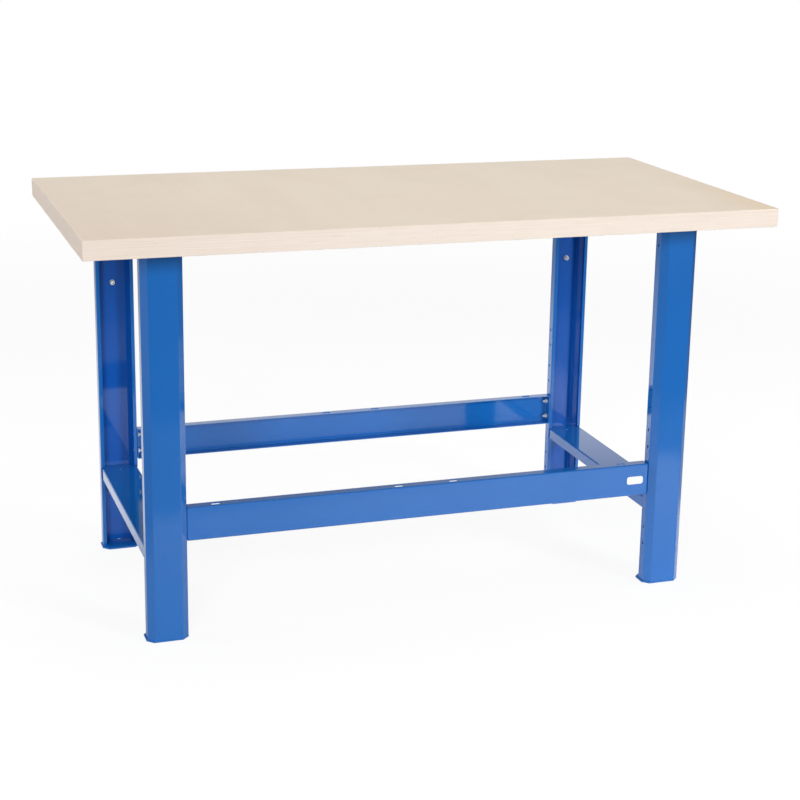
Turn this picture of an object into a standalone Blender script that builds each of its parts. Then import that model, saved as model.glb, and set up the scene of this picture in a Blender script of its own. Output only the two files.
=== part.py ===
"""Workbench: a multiplex worktop on two folded sheet-steel end frames, tied by two long rails.

The bench stands on the floor at Z = 0 with its length along X and its front towards -Y. The origin is
on the floor, under the middle of the worktop. All sizes are in metres.
"""

import math

import bmesh
import bpy
from mathutils import Matrix, Vector

# Worktop
TOP_LENGTH = 1.500
TOP_DEPTH = 0.750
TOP_THICKNESS = 0.040
TOP_EDGE_ROUND = 0.0015
TOP_EDGE_STEPS = 2
BENCH_HEIGHT = 0.890

# Places of the end frames under the worktop
END_OVERHANG = 0.1295
FRONT_OVERHANG = 0.109
REAR_OVERHANG = 0.018

# Folded sheet steel, and the length of a tool that cuts through it
SHEET = 0.002
INNER_BEND_RADIUS = 0.001
BEND_STEPS = 3
CUT_LENGTH = 0.008

# Gap between pieces that touch
SEAT_GAP = 0.0003

# Legs
LEG_WIDTH = 0.0875
LEG_CHAMFER = 0.014
LEG_LIP = 0.0085
LIP_CLEARANCE = 0.006
DRAIN_WIDTH = 0.012
DRAIN_HEIGHT = 0.0015

# Foot plates
FOOT_THICKNESS = 0.004
FOOT_TOE = 0.0205
FOOT_MARGIN = 0.0015
FOOT_EDGE_ROUND = 0.0006

# Lower ties and top bearers
TIE_TOP_HEIGHT = 0.1995
TIE_FLANGE = 0.025
TIE_END_CLEARANCE = 0.002
TIE_HOLE_RADIUS = 0.004
TIE_HOLE_INSET = 0.038
NOTCH_CLEARANCE = 0.001

# Rails
RAIL_LIFT = 0.0155
RAIL_HEIGHT = 0.074
RAIL_SETBACK = 0.0005
SLOT_LENGTH = 0.019
SLOT_WIDTH = 0.007
SLOT_CORNER = 0.003
INNER_SLOT_X = 0.063
OUTER_SLOT_INSET = 0.064

# Rail bolts, nuts and the hole pairs in the legs
BOLT_RADIUS = 0.003
BOLT_HOLE_RADIUS = 0.0035
BOLT_EDGE = 0.017
BOLT_THREAD_END = 0.006
BOLT_TIP_CHAMFER = 0.0006
NUT_WIDTH = 0.010
NUT_HEIGHT = 0.0052
HEAD_HEIGHT = 0.004
HEX_CHAMFER = 0.0005
NUT_CLEARANCE = 0.002
PAIR_STEP = 0.0945
PAIRS_ABOVE_RAIL = 2
LOWER_PAIR_DROP = 0.139
TOP_HOLE_DROP = 0.057

# Threaded inserts in the rear legs
INSERT_DROP = 0.208
INSERT_NECK_RADIUS = 0.0052
INSERT_BORE_RADIUS = 0.0034
INSERT_RIM_RADIUS = 0.0070
INSERT_RIM = 0.001
INSERT_BULGE_RADIUS = 0.0066
INSERT_BULGE = 0.003
INSERT_TAIL = 0.006

# Worktop screws
SCREWS_PER_BEARER = 4
SCREW_END_INSET = 0.070
SCREW_RADIUS = 0.0025
SCREW_HOLE_RADIUS = 0.0030
SCREW_HEAD_RADIUS = 0.0055
SCREW_HEAD_HEIGHT = 0.003
SCREW_RIM_HEIGHT = 0.0018
SCREW_CROWN_RADIUS = 0.0038
SCREW_TIP = 0.005
SCREW_POINT_RADIUS = 0.0005
SCREW_COVER = 0.012

# Label plate on the front rail
LABEL_LENGTH = 0.0415
LABEL_HEIGHT = 0.020
LABEL_THICKNESS = 0.0008
LABEL_CORNER = 0.003
LABEL_INSET = 0.033

# Finishes: colour, roughness and metal
MULTIPLEX = ((0.74, 0.66, 0.55), 0.45, 0.0)
BLUE_STEEL = ((0.035, 0.145, 0.46), 0.25, 0.0)
ZINC_PLATE = ((0.62, 0.63, 0.62), 0.35, 1.0)
LABEL_WHITE = ((0.90, 0.90, 0.90), 0.40, 0.0)

# Facets
ROUND_STEPS = 12
CORNER_STEPS = 5
SMOOTH_ANGLE = math.radians(35.0)

# Heights and lines that follow from the sizes above
BEND_RADIUS = SHEET + INNER_BEND_RADIUS
UNDERSIDE = BENCH_HEIGHT - TOP_THICKNESS
INSERT_HEIGHT = UNDERSIDE - INSERT_DROP
LEG_BOTTOM = FOOT_THICKNESS + SEAT_GAP
LEG_TOP = UNDERSIDE - SEAT_GAP
LEG_OUTER_X = TOP_LENGTH / 2 - END_OVERHANG
LEG_INNER_X = LEG_OUTER_X - LEG_WIDTH
LEG_CENTRE_X = LEG_OUTER_X - LEG_WIDTH / 2
FRONT_FACE_Y = FRONT_OVERHANG - TOP_DEPTH / 2
REAR_FACE_Y = TOP_DEPTH / 2 - REAR_OVERHANG
RAIL_FACE = LEG_CHAMFER + RAIL_SETBACK
BOLT_LINE = RAIL_FACE + BEND_RADIUS + NUT_WIDTH / 2 + NUT_CLEARANCE
LEG_DEPTH = BOLT_LINE + NUT_WIDTH / 2 + BEND_RADIUS + LIP_CLEARANCE
TIE_HALF_WIDTH = LEG_WIDTH / 2 - SHEET - SEAT_GAP
TIE_END_SETBACK = LEG_CHAMFER + BEND_RADIUS + TIE_END_CLEARANCE
TIE_FRONT_Y = FRONT_FACE_Y + TIE_END_SETBACK
TIE_REAR_Y = REAR_FACE_Y - TIE_END_SETBACK
RAIL_CENTRE_Z = TIE_TOP_HEIGHT + RAIL_LIFT + RAIL_HEIGHT / 2
RAIL_HALF_LENGTH = LEG_INNER_X - SEAT_GAP
BOLT_RISE = RAIL_HEIGHT / 2 - BOLT_EDGE
BEARER_TOP = UNDERSIDE - SEAT_GAP
EIGHTH_TURN = math.pi / 4
QUARTER_TURN = math.pi / 2
EIGHTH_TANGENT = BEND_RADIUS * math.tan(EIGHTH_TURN / 2)

X_AXIS = Vector((1.0, 0.0, 0.0))
Y_AXIS = Vector((0.0, 1.0, 0.0))
Z_AXIS = Vector((0.0, 0.0, 1.0))

SIDES = {"left": -1, "right": 1}
ENDS = {"front": -1, "rear": 1}
LEVELS = {"lower": -1, "upper": 1}


def make_material(name, colour, roughness, metallic):
    """Return a Principled BSDF material."""
    material = bpy.data.materials.new(name)
    material.use_nodes = True
    shader = material.node_tree.nodes["Principled BSDF"]
    shader.inputs["Base Color"].default_value = (*colour, 1.0)
    shader.inputs["Roughness"].default_value = roughness
    shader.inputs["Metallic"].default_value = metallic
    material.diffuse_color = (*colour, 1.0)
    return material


def make_object(name, bm, material, parent, place=Matrix.Identity(4)):
    """Turn a bmesh into a named object placed under its parent."""
    mesh = bpy.data.meshes.new(name)
    bm.to_mesh(mesh)
    bm.free()
    mesh.materials.append(material)
    piece = bpy.data.objects.new(name, mesh)
    bpy.context.collection.objects.link(piece)
    piece.parent = parent
    piece.matrix_local = place
    shade(piece)
    return piece


def make_empty(name, parent=None, location=(0.0, 0.0, 0.0)):
    """Return an empty that carries the pieces of one sub-assembly."""
    empty = bpy.data.objects.new(name, None)
    empty.parent = parent
    empty.location = location
    bpy.context.collection.objects.link(empty)
    return empty


def shade(piece):
    """Shade the round faces smooth and keep the true edges sharp."""
    piece.data.shade_smooth()
    piece.data.set_sharp_from_angle(angle=SMOOTH_ANGLE)


def bake(piece):
    """Replace the mesh of a piece by what its modifiers make of it."""
    bpy.context.view_layer.update()
    evaluated = piece.evaluated_get(bpy.context.evaluated_depsgraph_get())
    mesh = bpy.data.meshes.new_from_object(evaluated)
    piece.modifiers.clear()
    piece.data = mesh
    shade(piece)


def thicken(piece):
    """Give a folded sheet its thickness, behind the outer face."""
    solidify = piece.modifiers.new("sheet", "SOLIDIFY")
    solidify.thickness = SHEET
    solidify.offset = -1.0
    solidify.use_even_offset = True
    bake(piece)


def carve(piece, cutter_bm):
    """Cut the closed shapes of a bmesh, given in the piece's own frame, out of the piece."""
    mesh = bpy.data.meshes.new("cutter")
    cutter_bm.to_mesh(mesh)
    cutter_bm.free()
    cutter = bpy.data.objects.new("cutter", mesh)
    bpy.context.collection.objects.link(cutter)
    cutter.parent = piece
    boolean = piece.modifiers.new("holes", "BOOLEAN")
    boolean.operation = "DIFFERENCE"
    boolean.object = cutter
    bake(piece)
    bpy.data.objects.remove(cutter)


def add_cylinder(bm, centre, axis, radius, length):
    """Add a closed cylinder along an axis."""
    turn = Z_AXIS.rotation_difference(axis).to_matrix().to_4x4()
    bmesh.ops.create_cone(bm, cap_ends=True, segments=ROUND_STEPS, radius1=radius, radius2=radius,
                          depth=length, matrix=Matrix.Translation(centre) @ turn)


def add_box(bm, low, high):
    """Add a closed box between two corners."""
    low, high = Vector(low), Vector(high)
    size = Matrix.Diagonal(high - low).to_4x4()
    bmesh.ops.create_cube(bm, size=1.0, matrix=Matrix.Translation((low + high) / 2) @ size)


def extrude(bm, edges, shift):
    """Extrude free edges of a sheet by a shift and return the new free edges."""
    made = bmesh.ops.extrude_edge_only(bm, edges=edges)["geom"]
    verts = {item for item in made if isinstance(item, bmesh.types.BMVert)}
    bmesh.ops.translate(bm, verts=list(verts), vec=shift)
    return [item for item in made if isinstance(item, bmesh.types.BMEdge) and verts.issuperset(item.verts)]


def fold(bm, edges, run, inward, angle, length):
    """Bend a sheet at its free edges, then carry it on straight.

    The sheet reaches the edges along run and bends towards inward. Returns the new free edges with
    their own run and inward directions.
    """
    for step in range(BEND_STEPS):
        start = angle * step / BEND_STEPS
        end = angle * (step + 1) / BEND_STEPS
        along = BEND_RADIUS * (math.sin(end) - math.sin(start))
        across = BEND_RADIUS * (math.cos(start) - math.cos(end))
        edges = extrude(bm, edges, run * along + inward * across)
    new_run = run * math.cos(angle) + inward * math.sin(angle)
    new_inward = inward * math.cos(angle) - run * math.sin(angle)
    return extrude(bm, edges, new_run * length), new_run, new_inward


def face_sheet(bm, outward):
    """Point every face of an open sheet outwards, as its first face should."""
    bmesh.ops.recalc_face_normals(bm, faces=bm.faces)
    bm.faces.ensure_lookup_table()
    if bm.faces[0].normal.dot(outward) < 0.0:
        bmesh.ops.reverse_faces(bm, faces=bm.faces)


def loft(rings, closed=False):
    """Return a body through rings of equal count, capped at both ends or joined end to start."""
    bm = bmesh.new()
    loops = [[bm.verts.new(point) for point in ring] for ring in rings]
    steps = list(zip(loops, loops[1:]))
    if closed:
        steps.append((loops[-1], loops[0]))
    else:
        bm.faces.new(loops[0])
        bm.faces.new(loops[-1])
    for first, second in steps:
        first_after = first[1:] + first[:1]
        second_after = second[1:] + second[:1]
        for corners in zip(first, first_after, second_after, second):
            bm.faces.new(corners)
    bmesh.ops.recalc_face_normals(bm, faces=bm.faces)
    return bm


def round_ring(radius, height):
    """Return the points of a circle round Z."""
    turns = [2 * math.pi * step / ROUND_STEPS for step in range(ROUND_STEPS)]
    return [(radius * math.cos(turn), radius * math.sin(turn), height) for turn in turns]


def hex_ring(width, height, largest_radius=math.inf):
    """Return the points of a hexagon round Z, corner on X, cut off at a largest radius."""
    points = []
    for step in range(ROUND_STEPS):
        turn = 2 * math.pi * step / ROUND_STEPS
        off_flat = turn % (math.pi / 3) - math.pi / 6
        radius = min(width / 2 / math.cos(off_flat), largest_radius)
        points.append((radius * math.cos(turn), radius * math.sin(turn), height))
    return points


def rounded_outline(length, width, corner):
    """Return the points of a rectangle with round corners, about the origin."""
    middle_u = length / 2 - corner
    middle_v = width / 2 - corner
    points = []
    for quarter, (side_u, side_v) in enumerate(((1, 1), (-1, 1), (-1, -1), (1, -1))):
        for step in range(CORNER_STEPS + 1):
            turn = QUARTER_TURN * (quarter + step / CORNER_STEPS)
            u = side_u * middle_u + corner * math.cos(turn)
            v = side_v * middle_v + corner * math.sin(turn)
            points.append((u, v))
    return points


def add_slot(bm, centre):
    """Add a closed slot shape, long in X, that cuts a sheet along Z."""
    outline = rounded_outline(SLOT_LENGTH, SLOT_WIDTH, SLOT_CORNER)
    x, y, z = centre
    heights = (z - CUT_LENGTH / 2, z + CUT_LENGTH / 2)
    slot = loft([[(x + u, y + v, height) for u, v in outline] for height in heights])
    mesh = bpy.data.meshes.new("slot")
    slot.to_mesh(mesh)
    slot.free()
    bm.from_mesh(mesh)
    bpy.data.meshes.remove(mesh)


def make_worktop(material, parent):
    """Make the panel with its eased edges and the pilot holes for its screws."""
    bm = bmesh.new()
    half = Vector((TOP_LENGTH / 2, TOP_DEPTH / 2, TOP_THICKNESS))
    add_box(bm, (-half.x, -half.y, 0.0), half)
    bmesh.ops.bevel(bm, geom=bm.edges, offset=TOP_EDGE_ROUND, segments=TOP_EDGE_STEPS, profile=0.5,
                    affect="EDGES")
    place = Matrix.Translation(Z_AXIS * UNDERSIDE)
    worktop = make_object("worktop", bm, material, parent, place)
    holes = bmesh.new()
    depth = TOP_THICKNESS - SCREW_COVER + SEAT_GAP
    for side in SIDES.values():
        for y in screw_lines():
            centre = Vector((side * LEG_CENTRE_X, y, 0.0))
            add_cylinder(holes, centre, Z_AXIS, SCREW_HOLE_RADIUS, 2 * depth)
    carve(worktop, holes)


def pair_heights():
    """Return the middle heights of the hole pairs in a leg's inner flange."""
    above = [RAIL_CENTRE_Z + PAIR_STEP * step for step in range(PAIRS_ABOVE_RAIL + 1)]
    return [RAIL_CENTRE_Z - LOWER_PAIR_DROP] + above


def make_leg(name, material, parent, place, inner_side, has_insert):
    """Make one leg in its own frame: web towards -Y at Y = 0, inner flange on inner_side of X."""
    bm = bmesh.new()
    half_web = LEG_WIDTH / 2 - LEG_CHAMFER - EIGHTH_TANGENT
    corners = [(-half_web, LEG_BOTTOM), (half_web, LEG_BOTTOM), (half_web, LEG_TOP), (-half_web, LEG_TOP)]
    web = bm.faces.new([bm.verts.new((x, 0.0, z)) for x, z in corners])
    web_edges = {1: web.edges[1], -1: web.edges[3]}
    chamfer_flat = LEG_CHAMFER * math.sqrt(2.0) - 2 * EIGHTH_TANGENT
    flange_flat = LEG_DEPTH - LEG_CHAMFER - EIGHTH_TANGENT - BEND_RADIUS
    for side, edge in web_edges.items():
        strip = ([edge], X_AXIS * side, Y_AXIS)
        strip = fold(bm, *strip, EIGHTH_TURN, chamfer_flat)
        strip = fold(bm, *strip, EIGHTH_TURN, flange_flat)
        fold(bm, *strip, QUARTER_TURN, LEG_LIP - BEND_RADIUS)
    face_sheet(bm, -Y_AXIS)
    leg = make_object(name, bm, material, parent, place)
    thicken(leg)
    carve(leg, leg_cuts(inner_side, has_insert))


def leg_cuts(inner_side, has_insert):
    """Return the holes and notches of a leg, in the leg's own frame."""
    cuts = bmesh.new()
    heights = [LEG_TOP - TOP_HOLE_DROP]
    for middle in pair_heights():
        heights += [middle + level * BOLT_RISE for level in LEVELS.values()]
    for height in heights:
        centre = Vector((inner_side * LEG_WIDTH / 2, BOLT_LINE, height))
        add_cylinder(cuts, centre, X_AXIS, BOLT_HOLE_RADIUS, CUT_LENGTH)
    notch_x = TIE_HALF_WIDTH + SEAT_GAP / 2
    for top, over in ((TIE_TOP_HEIGHT, NOTCH_CLEARANCE), (BEARER_TOP, SHEET)):
        low = (-notch_x, LEG_DEPTH - BEND_RADIUS, top - TIE_FLANGE - NOTCH_CLEARANCE)
        add_box(cuts, low, (notch_x, LEG_DEPTH + SHEET, top + over))
    drain_top = LEG_BOTTOM + DRAIN_HEIGHT
    add_box(cuts, (-DRAIN_WIDTH / 2, -CUT_LENGTH / 2, 0.0), (DRAIN_WIDTH / 2, CUT_LENGTH / 2, drain_top))
    if has_insert:
        hole_radius = INSERT_NECK_RADIUS + SEAT_GAP
        add_cylinder(cuts, Z_AXIS * INSERT_HEIGHT, Y_AXIS, hole_radius, CUT_LENGTH)
    return cuts


def make_foot_plate(name, material, parent, place):
    """Make the eight-sided plate under a leg, in the leg's own frame."""
    half = LEG_WIDTH / 2 + FOOT_MARGIN
    depth = LEG_DEPTH + FOOT_TOE
    cut = LEG_CHAMFER
    outline = [(half - cut, 0.0), (half, cut), (half, depth - cut), (half - cut, depth)]
    outline += [(-x, y) for x, y in reversed(outline)]
    bm = bmesh.new()
    face = bm.faces.new([bm.verts.new((x, y, 0.0)) for x, y in outline])
    made = bmesh.ops.extrude_face_region(bm, geom=[face])["geom"]
    raised = [item for item in made if isinstance(item, bmesh.types.BMVert)]
    bmesh.ops.translate(bm, verts=raised, vec=Z_AXIS * FOOT_THICKNESS)
    bmesh.ops.recalc_face_normals(bm, faces=bm.faces)
    bmesh.ops.bevel(bm, geom=bm.edges, offset=FOOT_EDGE_ROUND, segments=1, affect="EDGES")
    make_object(name, bm, material, parent, place)


def make_tray(name, material, parent, top, holes):
    """Make a tie or bearer: a flat top with turned-down sides, running from leg to leg."""
    bm = bmesh.new()
    half_top = TIE_HALF_WIDTH - BEND_RADIUS
    corners = [(-half_top, TIE_FRONT_Y), (half_top, TIE_FRONT_Y)]
    corners += [(half_top, TIE_REAR_Y), (-half_top, TIE_REAR_Y)]
    flat = bm.faces.new([bm.verts.new((x, y, 0.0)) for x, y in corners])
    for side, edge in {1: flat.edges[1], -1: flat.edges[3]}.items():
        fold(bm, [edge], X_AXIS * side, -Z_AXIS, QUARTER_TURN, TIE_FLANGE - BEND_RADIUS)
    face_sheet(bm, Z_AXIS)
    tray = make_object(name, bm, material, parent, Matrix.Translation(Z_AXIS * top))
    thicken(tray)
    cuts = bmesh.new()
    for y, radius in holes:
        add_cylinder(cuts, Y_AXIS * y, Z_AXIS, radius, CUT_LENGTH)
    carve(tray, cuts)


def tie_holes():
    """Return place and radius of the holes in a lower tie."""
    lines = (TIE_FRONT_Y + TIE_HOLE_INSET, TIE_REAR_Y - TIE_HOLE_INSET)
    return [(y, TIE_HOLE_RADIUS) for y in lines]


def screw_lines():
    """Return the Y places of the worktop screws along a bearer."""
    first = TIE_FRONT_Y + SCREW_END_INSET
    last = TIE_REAR_Y - SCREW_END_INSET
    return [first + (last - first) * step / (SCREWS_PER_BEARER - 1) for step in range(SCREWS_PER_BEARER)]


def make_rail(name, material, parent, place):
    """Make a rail in its own frame: web towards -Y at Y = 0, the middle of its length at the origin."""
    bm = bmesh.new()
    half_x = RAIL_HALF_LENGTH - BEND_RADIUS
    half_z = RAIL_HEIGHT / 2 - BEND_RADIUS
    corners = [(-half_x, -half_z), (half_x, -half_z), (half_x, half_z), (-half_x, half_z)]
    web = bm.faces.new([bm.verts.new((x, 0.0, z)) for x, z in corners])
    flat = LEG_DEPTH - RAIL_FACE - BEND_RADIUS
    for edge, run in zip(list(web.edges), (-Z_AXIS, X_AXIS, Z_AXIS, -X_AXIS)):
        fold(bm, [edge], run, Y_AXIS, QUARTER_TURN, flat)
    face_sheet(bm, -Y_AXIS)
    rail = make_object(name, bm, material, parent, place)
    thicken(rail)
    carve(rail, rail_cuts())


def rail_cuts():
    """Return the bolt holes of the end tabs and the slots of the top flange."""
    cuts = bmesh.new()
    for side in SIDES.values():
        for level in LEVELS.values():
            centre = Vector((side * RAIL_HALF_LENGTH, BOLT_LINE - RAIL_FACE, level * BOLT_RISE))
            add_cylinder(cuts, centre, X_AXIS, BOLT_HOLE_RADIUS, CUT_LENGTH)
        slot_y = (LEG_DEPTH - RAIL_FACE) / 2
        for x in (INNER_SLOT_X, LEG_INNER_X - OUTER_SLOT_INSET):
            add_slot(cuts, (side * x, slot_y, RAIL_HEIGHT / 2))
    return cuts


def make_bolt(name, material, parent, place):
    """Make a hexagon bolt along +Z, its head below Z = 0."""
    length = 2 * SHEET + 3 * SEAT_GAP + NUT_HEIGHT + BOLT_THREAD_END
    head_round = NUT_WIDTH / math.sqrt(3.0) - HEX_CHAMFER
    rings = [hex_ring(NUT_WIDTH, -HEAD_HEIGHT, head_round),
             hex_ring(NUT_WIDTH, HEX_CHAMFER - HEAD_HEIGHT),
             hex_ring(NUT_WIDTH, 0.0),
             round_ring(BOLT_RADIUS, 0.0),
             round_ring(BOLT_RADIUS, length - BOLT_TIP_CHAMFER),
             round_ring(BOLT_RADIUS - BOLT_TIP_CHAMFER, length)]
    make_object(name, loft(rings), material, parent, place)


def make_nut(name, material, parent, place):
    """Make a hexagon nut that stands on Z = 0."""
    bore = BOLT_RADIUS + SEAT_GAP
    corner_round = NUT_WIDTH / math.sqrt(3.0) - HEX_CHAMFER
    rings = [round_ring(bore, 0.0),
             hex_ring(NUT_WIDTH, 0.0),
             hex_ring(NUT_WIDTH, NUT_HEIGHT - HEX_CHAMFER),
             hex_ring(NUT_WIDTH, NUT_HEIGHT, corner_round),
             round_ring(bore, NUT_HEIGHT)]
    make_object(name, loft(rings, closed=True), material, parent, place)


def make_insert(name, material, parent, place):
    """Make a crimped threaded insert along +Z through a sheet whose outer face is at Z = 0."""
    inside = SHEET + SEAT_GAP
    bulge_end = inside + INSERT_BULGE
    rings = [round_ring(INSERT_BORE_RADIUS, -SEAT_GAP - INSERT_RIM),
             round_ring(INSERT_RIM_RADIUS, -SEAT_GAP - INSERT_RIM),
             round_ring(INSERT_RIM_RADIUS, -SEAT_GAP),
             round_ring(INSERT_NECK_RADIUS, -SEAT_GAP),
             round_ring(INSERT_NECK_RADIUS, inside),
             round_ring(INSERT_BULGE_RADIUS, inside),
             round_ring(INSERT_BULGE_RADIUS, inside + INSERT_BULGE / 2),
             round_ring(INSERT_NECK_RADIUS, bulge_end),
             round_ring(INSERT_NECK_RADIUS, bulge_end + INSERT_TAIL),
             round_ring(INSERT_BORE_RADIUS, bulge_end + INSERT_TAIL)]
    make_object(name, loft(rings, closed=True), material, parent, place)


def make_screw(name, material, parent, place):
    """Make a worktop screw along +Z, its head below Z = 0."""
    tip = SHEET + 2 * SEAT_GAP + TOP_THICKNESS - SCREW_COVER
    rings = [round_ring(SCREW_CROWN_RADIUS, -SCREW_HEAD_HEIGHT),
             round_ring(SCREW_HEAD_RADIUS, -SCREW_RIM_HEIGHT),
             round_ring(SCREW_HEAD_RADIUS, 0.0),
             round_ring(SCREW_RADIUS, 0.0),
             round_ring(SCREW_RADIUS, tip - SCREW_TIP),
             round_ring(SCREW_POINT_RADIUS, tip)]
    make_object(name, loft(rings), material, parent, place)


def make_label(material, parent):
    """Make the blank label plate near the right end of the front rail."""
    outline = rounded_outline(LABEL_LENGTH, LABEL_HEIGHT, LABEL_CORNER)
    back = -SEAT_GAP
    front = back - LABEL_THICKNESS
    rings = [[(x, y, z) for x, z in outline] for y in (front, back)]
    centre = Vector((LEG_INNER_X - LABEL_INSET, FRONT_FACE_Y + RAIL_FACE, RAIL_CENTRE_Z))
    make_object("label_plate", loft(rings), material, parent, Matrix.Translation(centre))


def make_end_frame(side_name, steel, zinc, bench):
    """Make one end frame: two legs, their foot plates, the lower tie, the top bearer and its screws."""
    side = SIDES[side_name]
    frame = make_empty(f"{side_name}_end_frame", bench, X_AXIS * side * LEG_CENTRE_X)
    faces = {"front": (FRONT_FACE_Y, 0.0), "rear": (REAR_FACE_Y, math.pi)}
    for end_name, (face_y, turn) in faces.items():
        place = Matrix.Translation(Y_AXIS * face_y) @ Matrix.Rotation(turn, 4, "Z")
        inner_side = side * ENDS[end_name]
        is_rear = end_name == "rear"
        make_leg(f"leg_{end_name}_{side_name}", steel, frame, place, inner_side, is_rear)
        make_foot_plate(f"foot_plate_{end_name}_{side_name}", steel, frame, place)
        if is_rear:
            insert_place = place @ Matrix.Translation(Z_AXIS * INSERT_HEIGHT)
            insert_place = insert_place @ Matrix.Rotation(-QUARTER_TURN, 4, "X")
            make_insert(f"upright_insert_{side_name}", zinc, frame, insert_place)
    make_tray(f"lower_tie_{side_name}", steel, frame, TIE_TOP_HEIGHT, tie_holes())
    bearer_holes = [(y, SCREW_HOLE_RADIUS) for y in screw_lines()]
    make_tray(f"top_bearer_{side_name}", steel, frame, BEARER_TOP, bearer_holes)
    head_seat = BEARER_TOP - SHEET - SEAT_GAP
    for number, y in enumerate(screw_lines(), start=1):
        place = Matrix.Translation((0.0, y, head_seat))
        make_screw(f"worktop_screw_{side_name}_{number}", zinc, frame, place)


def make_rail_set(end_name, steel, zinc, bench):
    """Make one rail with the bolts and nuts that hold its ends to the legs."""
    faces = {"front": (FRONT_FACE_Y + RAIL_FACE, 0.0), "rear": (REAR_FACE_Y - RAIL_FACE, math.pi)}
    face_y, turn = faces[end_name]
    spin = Matrix.Rotation(turn, 4, "Z")
    make_rail(f"{end_name}_rail", steel, bench, Matrix.Translation((0.0, face_y, RAIL_CENTRE_Z)) @ spin)
    bolt_y = {"front": FRONT_FACE_Y + BOLT_LINE, "rear": REAR_FACE_Y - BOLT_LINE}[end_name]
    for side_name, side in SIDES.items():
        towards_middle = Matrix.Rotation(-side * QUARTER_TURN, 4, "Y")
        head_x = side * (LEG_INNER_X + SHEET + SEAT_GAP)
        nut_x = side * (RAIL_HALF_LENGTH - SHEET - SEAT_GAP)
        for level_name, level in LEVELS.items():
            height = RAIL_CENTRE_Z + level * BOLT_RISE
            spot = f"{end_name}_{side_name}_{level_name}"
            bolt_place = Matrix.Translation((head_x, bolt_y, height)) @ towards_middle
            make_bolt(f"rail_bolt_{spot}", zinc, bench, bolt_place)
            nut_place = Matrix.Translation((nut_x, bolt_y, height)) @ towards_middle
            make_nut(f"rail_nut_{spot}", zinc, bench, nut_place)


def main():
    """Clear the scene and build the workbench."""
    for item in list(bpy.data.objects):
        bpy.data.objects.remove(item)
    multiplex = make_material("multiplex", *MULTIPLEX)
    steel = make_material("blue_steel", *BLUE_STEEL)
    zinc = make_material("zinc_plate", *ZINC_PLATE)
    label_white = make_material("label_white", *LABEL_WHITE)
    bench = make_empty("workbench")
    make_worktop(multiplex, bench)
    for side_name in SIDES:
        make_end_frame(side_name, steel, zinc, bench)
    for end_name in ENDS:
        make_rail_set(end_name, steel, zinc, bench)
    make_label(label_white, bench)


main()
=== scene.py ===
"""Looks of a workbench: a multiplex worktop on glossy enamelled legs, ties and rails of folded sheet steel.

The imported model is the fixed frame, in metres, with +X along the worktop, +Y to the rear and +Z up. Each
piece of sheet is a flat blank that a formula folds up, and each fastener is a surface round its own axis.
"""

from __future__ import annotations

import logging
import math
from dataclasses import dataclass, field
from enum import Enum
from functools import cached_property
from typing import Any, Iterable, Mapping, Sequence, Union

import bpy
import numpy as np
from mathutils import Euler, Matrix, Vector
from mathutils.geometry import delaunay_2d_cdt


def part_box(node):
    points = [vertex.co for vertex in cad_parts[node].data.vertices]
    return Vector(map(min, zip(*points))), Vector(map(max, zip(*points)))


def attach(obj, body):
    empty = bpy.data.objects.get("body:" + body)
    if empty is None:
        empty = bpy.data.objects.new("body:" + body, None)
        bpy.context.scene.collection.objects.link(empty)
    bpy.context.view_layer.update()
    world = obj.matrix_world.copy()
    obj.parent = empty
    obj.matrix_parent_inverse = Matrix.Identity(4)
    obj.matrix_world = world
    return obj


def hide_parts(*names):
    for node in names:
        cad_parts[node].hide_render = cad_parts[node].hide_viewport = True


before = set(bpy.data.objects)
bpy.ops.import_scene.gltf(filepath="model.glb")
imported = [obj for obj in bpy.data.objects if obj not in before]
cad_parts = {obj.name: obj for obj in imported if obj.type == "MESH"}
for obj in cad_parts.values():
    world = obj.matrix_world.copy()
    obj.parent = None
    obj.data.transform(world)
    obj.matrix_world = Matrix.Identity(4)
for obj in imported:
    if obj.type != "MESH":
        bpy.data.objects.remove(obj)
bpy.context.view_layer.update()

LOG = logging.getLogger("workbench")
BODY = "root"
Pair = tuple[float, float]
Triple = tuple[float, float, float]
Colour = Triple
Array = np.ndarray
Mesh = bpy.types.Mesh
Material = bpy.types.Material
Number = Union[float, int, "Value"]

RIGHT_ANGLE = math.pi / 2
HALF_RIGHT = math.pi / 4
SAME_POINT = 1e-6
SMOOTH_ANGLE = math.radians(32.0)
QUARTERS = np.array([(1, 1), (-1, 1), (-1, -1), (1, -1)], float)


class Named(Enum):
    """A choice that goes into node names."""

    @property
    def word(self) -> str:
        """Return the word used in node names."""
        return self.name.lower()


class Side(Named):
    """The end frames, with their sign along X."""

    LEFT = -1
    RIGHT = 1


class End(Named):
    """The front and the rear of the bench, with their sign along Y."""

    FRONT = -1
    REAR = 1

    @property
    def inward(self) -> int:
        """Return the sign along Y of the way to the middle."""
        return -self.value

    def face(self, low: Vector, high: Vector) -> float:
        """Return where a box's outer face is along Y."""
        return low.y if self is End.FRONT else high.y


class Level(Named):
    """The two bolts at each end of a rail, with their sign along Z."""

    LOWER = -1
    UPPER = 1


class Slot(Enum):
    """The material slots of the record."""

    MULTIPLEX = "multiplex"
    STEEL = "blue_steel"
    ZINC = "zinc_plate"
    LABEL = "label_white"


# Shader maths

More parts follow.
